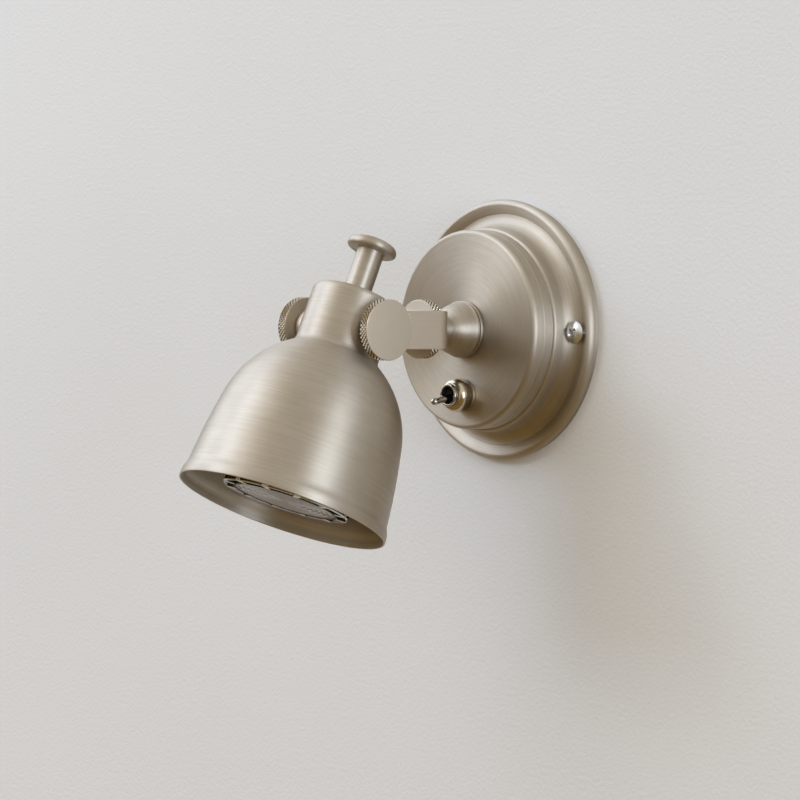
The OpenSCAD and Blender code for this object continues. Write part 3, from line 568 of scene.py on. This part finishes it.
def knob_faces(start, hole=0.0):
    """The two plain faces of a knurled disc: straight, with a fine rounded edge just inside the crests."""
    end, corner = start + KNOB_T, FACE_EDGE + 0.03
    near = rounded([[hole, start], [FACE_R, start, FACE_EDGE], [FACE_R, start + corner]])
    far = rounded([[FACE_R, end - corner], [FACE_R, end, FACE_EDGE], [hole, end]])
    return near, far


ARM_OUT, KNOB_GAP, BOSS_R, STUD_R = 20.4, 1.7, 6.5, 2.5
knob_metals = [blasted_nickel, rolled_nickel, groove_oxide_shade_nickel]
for side, label in ((-1, "left"), (1, "right")):
    inward, outward = knob_faces(ARM_OUT + KNOB_GAP)
    stem = rounded([[0, 9.5], [STUD_R, 9.5, 0.3], [STUD_R, ARM_OUT + 0.05], [BOSS_R, ARM_OUT + 0.05, 0.25],
                    [BOSS_R, ARM_OUT + KNOB_GAP, 0.3]])
    name = f"{label}_knurled_knob"
    mesh = knurled(name, at_pivot(side), ARM_OUT + KNOB_GAP, np.concatenate([stem, inward[1:]]), outward)
    piece(name, mesh, knob_metals, f"{label}_knob")

YOKE_D, COLLAR_GAP, COLLAR_FOOT, FOOT_R = 48.65, 0.05, 40.3, 7.2
collar_start = YOKE_D - COLLAR_GAP - KNOB_T
near, far = knob_faces(collar_start, TUBE_HOLE_R)
boss = rounded([[TUBE_HOLE_R, COLLAR_FOOT], [FOOT_R, COLLAR_FOOT, 0.4], [FOOT_R, collar_start, 0.2]])
mesh = knurled("swivel_knurled_collar", FROM_WALL, collar_start, np.concatenate([boss, near[1:]]), far)
piece("swivel_knurled_collar", mesh, knob_metals, "swivel_collar")

# %% [markdown]
# ## Yoke
# A flat strap, 14.9 mm wide and 2.7 mm thick, bent twice into a U, with round ends at the pivots. It is
# easiest to make while it is still flat: rays run from the strap's middle line out to its edge and over
# the rounded edge to the other side. The flat strap is then laid along the bent path, and the last step
# drills the pivot and swivel holes.

# %% Yoke
STRAP_W, STRAP_T, BEND_R, STRAP_EDGE = 14.9, 2.7, 5.3, 0.45
EDGE_STEPS, END_STEPS, GRAIN_LENGTH = 97, 41, 100


def strap_path(s):
    """Middle line of the bent strap, from the middle of its web: straight, a quarter circle, straight.
    Returns place and outward normal in plan, x across and y away from the wall."""
    mid_r = BEND_R - STRAP_T / 2
    web = ARM_OUT - BEND_R
    quarter = mid_r * math.pi / 2
    side, d = np.sign(s), abs(s)
    turn = np.clip((d - web) / mid_r, 0, math.pi / 2)
    x = np.minimum(d, web) + mid_r * np.sin(turn)
    y = BEND_R - mid_r * np.cos(turn) + np.maximum(d - web - quarter, 0)
    return np.stack([side * x, y], -1), np.stack([side * np.sin(turn), -np.cos(turn)], -1)


mid_r = BEND_R - STRAP_T / 2
arm_s = ARM_OUT - BEND_R + mid_r * math.pi / 2 + (PIVOT - YOKE_D - BEND_R)
half_w = STRAP_W / 2
# once round the flat strap: along one edge, half round an end, back along the other edge, half round
edge_s = arm_s * np.sin(np.linspace(-0.5, 0.5, EDGE_STEPS) * math.pi)
end_a = np.linspace(-90, 90, END_STEPS)[1:-1] * math.pi / 180
round_end = np.stack([np.cos(end_a), np.sin(end_a)], 1)
core_s = np.concatenate([edge_s, np.full(len(end_a), arm_s), edge_s[::-1], np.full(len(end_a), -arm_s)])
away = np.concatenate([np.tile([0, -1], (EDGE_STEPS, 1)), round_end, np.tile([0, 1], (EDGE_STEPS, 1)),
                       -round_end])
core_t = STRAP_T / 2
rim = arc((half_w - STRAP_EDGE, core_t - STRAP_EDGE), STRAP_EDGE, 90, 0, 5)
profile = np.concatenate([[[0, core_t], [3, core_t], [6, core_t]], rim, rim[::-1] * [1, -1],
                          [[6, -core_t], [3, -core_t], [0, -core_t]]])
reach, lift = profile[:, :1], profile[:, 1:2]
s = core_s + reach * away[:, 0]
z = reach * away[:, 1]
place, normal = strap_path(s)
flat = place + normal * lift[..., None]
points = np.stack([flat[..., 0], -(YOKE_D + flat[..., 1]), z], 2)
wrap = np.concatenate([s, s[:, :1]], 1)
high = np.concatenate([z, z[:, :1]], 1)
grain = np.stack([wrap / GRAIN_LENGTH, high * MM], 2)
IN_PLACE = (np.eye(3), np.zeros(3))
yoke = grid_mesh("bent_yoke", points, IN_PLACE, grain)
yoke = carve(yoke, [rod("tube_hole", FROM_WALL, TUBE_HOLE_R, YOKE_D - 2, YOKE_D + STRAP_T + 2)]
             + [rod("stud_hole", at_pivot(side), STUD_R + 0.05, ARM_OUT - STRAP_T - 2, ARM_OUT + 2)
                for side in (-1, 1)])
piece("bent_yoke", yoke, fine_nickel, "yoke")

# %% [markdown]
# ## Bell shade
# The shade is spun from one disc over a form: a straight neck, a tight hollow flare, a round shoulder, a
# long, nearly straight skirt and a lip that kicks out and straightens again. The line inside is the same
# line moved in by the sheet's thickness. The lip is drawn thinner, which leaves a fine crease where it
# starts, and its rim is rounded.

# %% Bell shade
NECK_OUT, NECK_TOP, NECK_EDGE, SHADE_T, OPENING = 16.6, 13.9, 2.5, 1.0, 75.2
NECK_END_S, LIP_SLOPE = 8.6, 2
line = bell_arcs([NECK_OUT, NECK_END_S, 0], [[3.8, 55.6], [42, 10.8], [274, 4.6], [8, 25], [6, LIP_SLOPE]])
last = line[-1]
mouth = [last[0] + (OPENING - last[1]) * math.tan(math.radians(LIP_SLOPE)), OPENING]


def shade_wall(inset):
    """The bell's outline moved in by inset, from the top of the neck to the opening. Each point moves
    square to its own heading."""
    a = np.radians(line[:, 2])
    bell = line[:, :2] + inset * np.stack([-np.cos(a), np.sin(a)], 1)
    top = arc((NECK_OUT - NECK_EDGE, -NECK_TOP + NECK_EDGE), NECK_EDGE - inset, -90, 0, 8)
    return np.concatenate([top, bell])


HANG_HOLE_R, LIP_T = 2.05, 0.65
CREASE, CREASE_W = 68.1, 0.6
rim_round = arc((mouth[0] - LIP_T / 2, OPENING - LIP_T / 2), LIP_T / 2, 0, 180, 8)
sheet, lip = shade_wall(SHADE_T), shade_wall(LIP_T)
inside = np.concatenate([sheet[sheet[:, 1] < CREASE - CREASE_W / 2], lip[lip[:, 1] > CREASE + CREASE_W / 2]])
shade_outline = np.concatenate([[[HANG_HOLE_R, -NECK_TOP]], shade_wall(0), rim_round, inside[::-1],
                                [[HANG_HOLE_R, -NECK_TOP + SHADE_T]]])
print("the crease inside the lip is", round(OPENING - CREASE, 1), "mm from the opening")
shade = turned("spun_bell_shade", shade_outline, IN_HEAD, sides=256)
PIVOT_BOSS_R, GROMMET_R, GROMMET_S = 4.65, 3.4, -6
lead_side = (np.array([[1, 0, 0], IN_HEAD[0][2], -IN_HEAD[0][1]]), IN_HEAD[1] + GROMMET_S * IN_HEAD[0][2])
shade = carve(shade, [rod("pivot_hole", at_pivot(side), PIVOT_BOSS_R, 9, 22) for side in (-1, 1)]
              + [rod("lead_hole", lead_side, GROMMET_R, 10, 20)])
piece("spun_bell_shade", shade, satin_nickel, "shade")

# %% [markdown]
# ## Aiming post
# A short handle on the neck's top: a round post with a mushroom cap. A thinner rod runs on from it down
# the inside and carries the lamp holder.

# %% Aiming post
POST_R, POST_L, CAP_R, CAP_T, ROD_R = 5.35, 18.4, 9.85, 5.5, 2.0
ROD_END, LOW_R, HIGH_R = 9.7, 1.35, 2.6
widest = POST_L + LOW_R
cap = np.concatenate([
    [[POST_R, 0.15]], arc((POST_R + 0.5, POST_L - 0.5), 0.5, 180, 90, 4),
    arc((CAP_R - LOW_R, widest), LOW_R, -90, 0, 10), arc((CAP_R - HIGH_R, widest), HIGH_R, 0, 68, 12)[1:]])
dome_x = np.linspace(cap[-1, 0], 0, 13)[1:]
dome = np.stack([dome_x, POST_L + CAP_T - (POST_L + CAP_T - cap[-1, 1]) * (dome_x / cap[-1, 0]) ** 2], 1)
post_outline = np.concatenate([cap, dome])[::-1] * [1, -1] + [0, -NECK_TOP]
rod_outline = np.array([[ROD_R, -NECK_TOP], [ROD_R, ROD_END - 0.3], [ROD_R - 0.3, ROD_END], [0, ROD_END]])
post = turned("aiming_handle", np.concatenate([post_outline, [[POST_R, -NECK_TOP]], rod_outline]), IN_HEAD,
              sides=96, closed=False)
piece("aiming_handle", post, satin_nickel, "aiming_post")

# %% [markdown]
# ## Cover screws
# Two bright pan-head screws. The head's height falls as (r / R) to the power 2.8, flat in the middle and
# steep at the edge. The cross recess is made with two tapered bars, as a driver bit cuts it, and it stands
# at the angle at which the photograph shows it.

# %% Cover screws
HEAD_R, HEAD_H, HEAD_EDGE, THREAD_R, THREAD_L, FLATNESS = 4.45, 2.1, 0.35, 1.95, 6.2, 2.8
RECESS_TURN, RECESS_L, RECESS_W, RECESS_DEEP = 35, 5.2, 1.3, 1.5


def tapered_bar(name, length, width, low, high, turn_deg, where):
    """A four-sided bar whose foot is narrower than its top, for one arm of a cross recess."""
    a = math.radians(turn_deg)
    spin = np.array([[math.cos(a), math.sin(a)], [-math.sin(a), math.cos(a)]])
    corners = np.array([[-1, -1], [1, -1], [1, 1], [-1, 1]]) * [length / 2, width / 2]
    foot = np.column_stack([(corners * 0.55) @ spin, np.full(4, low)])
    head = np.column_stack([corners @ spin, np.full(4, high)])
    points = np.stack([foot * [0, 0, 1], foot, head, head * [0, 0, 1]])
    return grid_mesh(name, points, where, np.zeros((5, 5, 2)))


heads = []
for side in (-1, 1):
    seat = (FROM_WALL[0], np.array([side * COVER_X, -SEAT_H, 0]))
    crown = np.concatenate([[[0, -THREAD_L], [THREAD_R, -THREAD_L], [THREAD_R, 0], [HEAD_R - 0.3, 0]],
                            arc((HEAD_R - HEAD_EDGE, HEAD_EDGE), HEAD_EDGE, -90, 20, 4)])
    x = np.linspace(crown[-1, 0], 0, 12)[1:]
    rise = HEAD_H - crown[-1, 1]
    top = np.stack([x, crown[-1, 1] + rise * (1 - (x / crown[-1, 0]) ** FLATNESS)], 1)
    head = turned("cover_screw_heads", np.concatenate([crown, top]), seat, sides=64, closed=False)
    heads.append(carve(head, [tapered_bar("bar", RECESS_L, RECESS_W, HEAD_H - RECESS_DEEP, HEAD_H + 0.3,
                                          RECESS_TURN + k, seat) for k in (0, 90)]))
both_heads = bmesh.new()
for head in heads:
    both_heads.from_mesh(head)
mesh = bpy.data.meshes.new("cover_screw_heads")
both_heads.to_mesh(mesh)
both_heads.free()
piece("cover_screw_heads", smooth(mesh), bright_steel, "cover_screws")

# %% [markdown]
# ## Switch
# A small toggle: a round nut on the drum, satin at its foot and polished on its domed shoulder, the chromed
# end of the switch's sleeve in it, and a chromed lever that ends in a little ball. The sleeve's bore is
# black: the switch's black body at its floor, and painted shade on the sleeve's metal wall.

# %% Chrome and the toggle's parts


def matt_solid(name, colour, pale, roughness, scale_mm, ior=1.5, depth_mm=0.02):
    """A non-metal with a fine mottled skin: moulded plastic, ceramic or rubber, by its colours and grain."""
    material, tree, out = new_material(name)
    noise = mottle(tree, scale_mm * MM, 3.0)
    body = add(tree, "ShaderNodeBsdfPrincipled", {
        "Base Color": blend(tree, noise, linear(colour), linear(pale)), "IOR": ior, "Roughness": roughness,
        "Normal": bumps(tree, noise, 0.4, depth_mm * MM)})
    tree.links.new(body.outputs[0], out.inputs["Surface"])
    return material


chrome = plain_metal("polished_chrome_plate", "#aba69c", "#b5b0a6", 0.1, 3.0, 0.002)
polished_nickel = plain_metal("polished_nickel_plate", "#b3a690", "#beb19b", 0.2, 2.0, 0.002)
phenolic = matt_solid("moulded_black_phenolic", "#151514", "#20201f", 0.45, 0.8)

SLEEVE_R, BORE_R, SLEEVE_START, SLEEVE_END, FLOOR_H = 4.5, 3.65, 17.3, 32.1, 26.4
sleeve_line = rounded([[0, SLEEVE_START], [SLEEVE_R, SLEEVE_START, 0.2], [SLEEVE_R, SLEEVE_END, 0.35],
                       [BORE_R, SLEEVE_END, 0.2], [BORE_R, FLOOR_H + 2.8], [1.75, FLOOR_H + 0.5],
                       [0, FLOOR_H]])
sleeve = turned("switch_sleeve_end", sleeve_line, AT_SWITCH, sides=64, closed=False)
face_r, turn, face_h = face_middles(sleeve, AT_SWITCH)
# the bore takes black phenolic: the switch body at its floor, painted shade on the sleeve's metal wall
dress_faces(sleeve, (face_r < BORE_R + 0.05) & (face_h > SLEEVE_START + 3) & (face_h < SLEEVE_END - 0.25))
piece("switch_sleeve_end", sleeve, [chrome, phenolic], "switch_sleeve")

NUT_R, NUT_STRAIGHT, SHOULDER, SATIN_FOOT = 6.8, 4.4, 3.3, 2.2
nut_line = np.concatenate([
    rounded([[SLEEVE_HOLE_R, 0], [NUT_R - 0.35, 0], [NUT_R - 0.35, 0.7, 0.1], [NUT_R, 0.9, 0.1]]),
    arc((NUT_R - SHOULDER, NUT_STRAIGHT), SHOULDER, 0, 68, 14), [[SLEEVE_HOLE_R, NUT_STRAIGHT + 3.05]]])
round_nut = turned("switch_round_nut", nut_line + [0, PLATE_H], AT_SWITCH, sides=96)
face_r, turn, face_h = face_middles(round_nut, AT_SWITCH)
dress_faces(round_nut, face_h > PLATE_H + SATIN_FOOT)
piece("switch_round_nut", round_nut, [satin_nickel, polished_nickel], "switch_dome_nut")

BALL_H, BALL_R, TIP_R, STEM_R, LEVER_OUT, LEVER_ANGLE = 26.2, 2.6, 1.55, 1.28, 17.3, 11
stem_l = PLATE_H + LEVER_OUT - BALL_H - TIP_R
ball = arc((0, 0), BALL_R, -90, 60, 20)
tip = arc((0, stem_l), TIP_R, -33, 90, 12)
lever_line = np.concatenate([ball, [[STEM_R - 0.06, BALL_R], [STEM_R, stem_l - 2]], tip])
k = math.radians(LEVER_ANGLE)
swing = np.array([[1, 0, 0], [0, math.cos(k), math.sin(k)], [0, -math.sin(k), math.cos(k)]])
lever_frame = (swing @ FROM_WALL[0], AT_SWITCH[1] + np.array([0, -BALL_H, 0]))
piece("switch_toggle_lever", turned("switch_toggle_lever", lever_line, lever_frame, sides=48, closed=False),
      chrome, "switch_lever")

# %% [markdown]
# ## Bulb
# A twist-lock reflector lamp, 50 mm across. Its face shows a thin bright ring, a dark ring of vents crossed
# by 12 pale bridges, and a frosted lens. The vents' floors are painted near-black as painted shade, and
# shallow slots in the rim's side, between the bridges, carry the same painted shade. A thin strip on the
# inner side of the bright ring is painted pale as a painted highlight. The rim is a height field on rings
# and rays: its columns stand in close pairs at both edges of each bridge, so the steps between bridge and
# vent are upright walls. Each row below is [radius, height, vent, slot]: where vent is 1 the height drops
# between the bridges, and where slot is 1 the radius does.
#
# The bulb hangs a little crooked in its holder, by 3 degrees, as such bulbs do. Its own frame comes from
# the head's: the new axis n is (sin a, sin b, 1) made 1 long, and the other two are made square to it.

# %% Bulb face
BULB_R, FACE_S, RIM_L, BRIDGES, WEB_DEG = 25.0, 71.5, 9.0, 12, 6.0
LEAN_A, LEAN_B, LEAN_FROM = -1.8, -2.4, 63.5
n = np.array([math.sin(math.radians(LEAN_A)), math.sin(math.radians(LEAN_B)), 1])
n = n / np.linalg.norm(n)
across = np.array([1, 0, 0]) - n[0] * n
across = across / np.linalg.norm(across)
leaned = np.stack([across, np.cross(n, across), n]) @ IN_HEAD[0]
IN_BULB = (leaned, IN_HEAD[1] + LEAN_FROM * (IN_HEAD[0][2] - leaned[2]))
VENT_OUT, VENT_IN, VENT_DEEP, LENS_DROP = 24.2, 20.7, 2.4, 0.05
SLOT_L, SLOT_DEEP, EDGE = 6.5, 0.6, 0.4
cast_metal = plain_metal("bright_cast_aluminium", "#b9bbbc", "#cdcfd0", 0.2, 2.0)
# the vent floors and side slots are painted near-black: painted shade of the dark openings
vent_painted_shade = matt_solid("vent_floor_painted_shade", "#12110f", "#1d1b18", 0.6, 1.0)

pitch = 2 * math.pi / BRIDGES
half_web, sliver = math.radians(WEB_DEG) / 2, math.radians(0.15)
marks = np.array([-half_web - sliver, -half_web, 0, half_web, half_web + sliver,
                  pitch * 0.3, pitch * 0.5, pitch * 0.7])
t = (np.arange(BRIDGES)[:, None] * pitch + marks).ravel()
between = np.tile([1, 0, 0, 0, 1, 1, 1, 1], BRIDGES)
rows = np.array([
    [0, -RIM_L, 0, 0], [BULB_R - 1, -RIM_L, 0, 0], [BULB_R, EDGE - RIM_L, 0, 0], [BULB_R, -SLOT_L, 0, 0],
    [BULB_R, 0.05 - SLOT_L, 0, 1], [BULB_R, -EDGE - 0.05, 0, 1], [BULB_R, -EDGE, 0, 0],
    [BULB_R - EDGE / 2, -EDGE / 2, 0, 0], [BULB_R - EDGE, 0, 0, 0], [VENT_OUT + 0.03, 0, 0, 0],
    [VENT_OUT, 0, 1, 0], [VENT_IN, 0, 1, 0], [VENT_IN - 0.03, 0, 0, 0], [VENT_IN - 0.85, 0, 0, 0],
    [VENT_IN - 1, -0.15, 0, 0], [VENT_IN - 1, -VENT_DEEP, 0, 0], [0, -VENT_DEEP, 0, 0]])
level = rows[:, 1:2] - VENT_DEEP * rows[:, 2:3] * between
radius = rows[:, :1] - SLOT_DEEP * rows[:, 3:] * between
points = np.stack([radius * np.cos(t), radius * np.sin(t), level], 2) + [0, 0, FACE_S]
run = np.concatenate([[0], np.cumsum(np.abs(np.diff(rows[:, 0])) + np.abs(np.diff(rows[:, 1])))]) * MM
uu, vv = np.meshgrid(np.append(t, t[0] + 2 * math.pi) / (2 * math.pi), run)
bulb_rim = grid_mesh("bulb_bridged_rim", points, IN_BULB, np.stack([uu, vv], 2))
face_r, turn, face_h = face_middles(bulb_rim, IN_BULB)
deep, off_bridge = FACE_S - face_h, abs((turn + pitch / 2) % pitch - pitch / 2)
bridge = (off_bridge < half_web) & (face_r > VENT_IN - 0.1) & (deep < SLOT_L)
vent = (face_r < VENT_OUT - 0.3) & (deep < 3)
slot = (face_r > VENT_OUT + 0.05) & (face_r < BULB_R - 0.2) & (deep > EDGE) & (deep < SLOT_L)
# a thin strip on the bright ring's inner side is painted pale as a painted highlight; the bridges take the
# pale lacquer
highlight_strip = (abs(face_r - VENT_OUT) < 0.2) & (deep > 0.5) & (deep < 2)
dress_faces(bulb_rim, np.where(bridge | highlight_strip, 2, vent | slot))
pale_coat_and_highlight = matt_solid("pale_lacquer_and_painted_highlight", "#d6d7d5", "#e0e1df", 0.35, 1.0)
piece("bulb_bridged_rim", bulb_rim, [cast_metal, vent_painted_shade, pale_coat_and_highlight], "bulb_rim")

# %% [markdown]
# The lens is clear acrylic with a frosted, ringed face. Its rings are moulded prisms: the height rises
# and falls along the radius, so light and dark rings show when it is seen at a low angle.

# %% Lens
frosted = matt_solid("frosted_acrylic_lens", "#726c5f", "#8a8476", 0.14, 3.0, ior=1.49)
LENS_R, LENS_T, RING, RING_H = 19.7, 1.6, 2.2, 0.12
x = np.linspace(LENS_R, 0, 61)
wave = RING_H * np.cos(2 * math.pi * x / RING) * np.clip((LENS_R - x) / 2, 0, 1)
top, back = FACE_S - LENS_DROP, FACE_S - LENS_DROP - LENS_T
lens_line = np.concatenate([[[0, back], [LENS_R, back]], np.stack([x, top - RING_H + wave], 1)])
piece("bulb_ringed_lens", turned("bulb_ringed_lens", lens_line, IN_BULB, sides=96, closed=False), frosted,
      "bulb_lens")

# %% [markdown]
# ## Materials of the pieces that stay as modelled
# The bracket, nuts, terminals, holder and grommet have the right shape already. They are seen only from
# the back or from below, and each gets the finish of the real part: zinc plate, brass, steatite and so on.

# %% Finishes for the model's own pieces
zinc = plain_metal("zinc_plated_steel", "#8f9190", "#b2b4b2", 0.38, 2.5, 0.02)
brass = plain_metal("machined_brass", "#b08d46", "#cfae68", 0.3, 1.2)
polyamide = matt_solid("moulded_white_polyamide", "#dcdbd5", "#e6e5df", 0.5, 1.0)
steatite = matt_solid("pressed_steatite", "#e3dfd3", "#efebdf", 0.7, 0.6, ior=1.6, depth_mm=0.05)
rubber = matt_solid("matt_black_rubber", "#191918", "#232321", 0.8, 0.5)
polycarbonate = matt_solid("moulded_white_polycarbonate", "#d9d8d2", "#e7e6e1", 0.4, 1.5, ior=1.58)

kept = {
    zinc: ["wall_bracket", "block_screw", "threaded_tube", "tube_washer", "tube_nut", "yoke_washer",
           "yoke_nut", "pivot_bosses", "post_nut", "holder_bracket", "bracket_nuts", "holder_screws",
           "switch_lock_nut"],
    brass: ["terminal_screws", "earth_screw", "switch_terminals"],
    polyamide: ["terminal_block"],
    steatite: ["lamp_holder"],
    phenolic: ["switch_body", "tube_bush"],
    rubber: ["lead_grommet", "friction_washers"],
    polycarbonate: ["bulb_base", "bulb_housing"],
    bright_steel: ["bulb_pins"],
}
for material, names in kept.items():
    for name in names:
        mesh = frame["nodes"][name].data
        mesh.materials.clear()
        mesh.materials.append(material)
print("finished", sum(len(v) for v in kept.values()), "pieces of the model")

# %% [markdown]
# ## Wall and light
# The wall is painted plaster, rolled smooth with a slight orange peel. It has a hole behind the backplate
# and is clear from behind, so that the lamp's back can be looked at. The light is daylight from windows
# at the left, one small and clear enough to throw the soft shadow, and one low at the right; round them
# is a room that is pale above and warm and dark below, which gives the lower edges their golden brown.
# Where the camera looks past the wall it sees a plain pale backdrop instead of that room.

# %% Wall


def wall_paint(name, colour, pale):
    """Matt paint: broad faint clouds in the tone, and an orange peel of bumps, 1.5 mm and finer."""
    material, tree, out = new_material(name)
    peel = mottle(tree, 1 / 650, 5.0)
    paint = add(tree, "ShaderNodeBsdfPrincipled", {
        "Base Color": blend(tree, mottle(tree, 1 / 6, 2.0), linear(colour), linear(pale)), "Roughness": 0.85,
        "Normal": bumps(tree, peel, 0.35, 0.6 * MM)})
    clear = add(tree, "ShaderNodeBsdfTransparent")
    side = add(tree, "ShaderNodeNewGeometry")
    choose = add(tree, "ShaderNodeMixShader", {0: side.outputs["Backfacing"], 1: paint.outputs[0],
                                               2: clear.outputs[0]})
    tree.links.new(choose.outputs[0], out.inputs["Surface"])
    return material


WALL_HOLE, WALL_REACH = 50.0, 2500.0
ring_r = np.array([WALL_HOLE, 120, 400, WALL_REACH])[:, None]
t = np.linspace(0, 2 * math.pi, 96, endpoint=False)
points = np.stack([ring_r * np.cos(t), 0.05 + 0 * ring_r + 0 * t, ring_r * np.sin(t)], 2)
cells = grid_mesh("plaster_wall", points, IN_PLACE, np.zeros((5, 97, 2)))
wall = bpy.data.objects.new("plaster_wall", cells)
bpy.context.collection.objects.link(wall)
towards = np.zeros(len(cells.polygons) * 3)
cells.polygons.foreach_get("normal", towards)
if towards[1::3].mean() > 0:
    cells.flip_normals()
cells.materials.append(wall_paint("matt_wall_paint", "#d5d3ce", "#dad8d3"))
wall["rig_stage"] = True

# %% Lights


def soft_box(name, azimuth, elevation, away, width, height, watts, colour):
    """A flat lamp that faces the head of the lamp from a direction, away metres off."""
    lamp = bpy.data.lights.new(name, "AREA")
    lamp.shape, lamp.size, lamp.size_y = "RECTANGLE", width, height
    lamp.energy, lamp.color = watts, colour[:3]
    box = bpy.data.objects.new(name, lamp)
    axes = camera_frame(azimuth, elevation, 0)
    at = np.eye(4)
    at[:3, :3], at[:3, 3] = axes.T, direction(azimuth, elevation) * away + [0, -0.06, 0]
    box.matrix_world = Matrix(at.tolist())
    box.visible_camera = False
    bpy.context.collection.objects.link(box)


DAYLIGHT = linear("#d5e6ff")
soft_box("window", -35, 22, 2.0, 0.45, 0.45, 7.2, DAYLIGHT)
soft_box("bright_sky", -50, 38, 2.0, 2.2, 1.4, 19.8, linear("#c8dcff"))
soft_box("left_wall", -82, 18, 2.0, 0.9, 1.2, 10.1, DAYLIGHT)
soft_box("front_wall", -15, 35, 2.0, 0.9, 0.9, 3.1, linear("#fff8e8"))
soft_box("right_window", 80, 2, 1.6, 0.55, 0.8, 15.8, DAYLIGHT)

ROOM_ABOVE, ROOM_BELOW = (0.955, 0.94, 0.91, 1), (0.3, 0.195, 0.06, 1)
room = bpy.data.worlds.new("dim_room")
bpy.context.scene.world = room
room.use_nodes = True
room.node_tree.nodes.clear()
tree = room.node_tree
where = add(tree, "ShaderNodeTexCoord")
part = add(tree, "ShaderNodeSeparateXYZ", {0: where.outputs["Generated"]})
walls = blend(tree, rescale(tree, part.outputs["Z"], -0.15, 0.35), ROOM_BELOW, ROOM_ABOVE)
path = add(tree, "ShaderNodeLightPath")
seen = blend(tree, path.outputs["Is Camera Ray"], walls, linear("#d8d6d2"))
sky = add(tree, "ShaderNodeBackground", {"Color": seen, "Strength": 1.0})
add(tree, "ShaderNodeOutputWorld", {"Surface": sky.outputs[0]})
bpy.context.scene.view_settings.view_transform = "Standard"

# %% [markdown]
# ## Size
# The dressed lamp must keep the model's size, so the box of the visible pieces is printed.

# %% Size of the dressed lamp
low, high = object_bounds()
print("visual box, mm:", [round(1000 * (b - a), 1) for a, b in zip(low, high)])
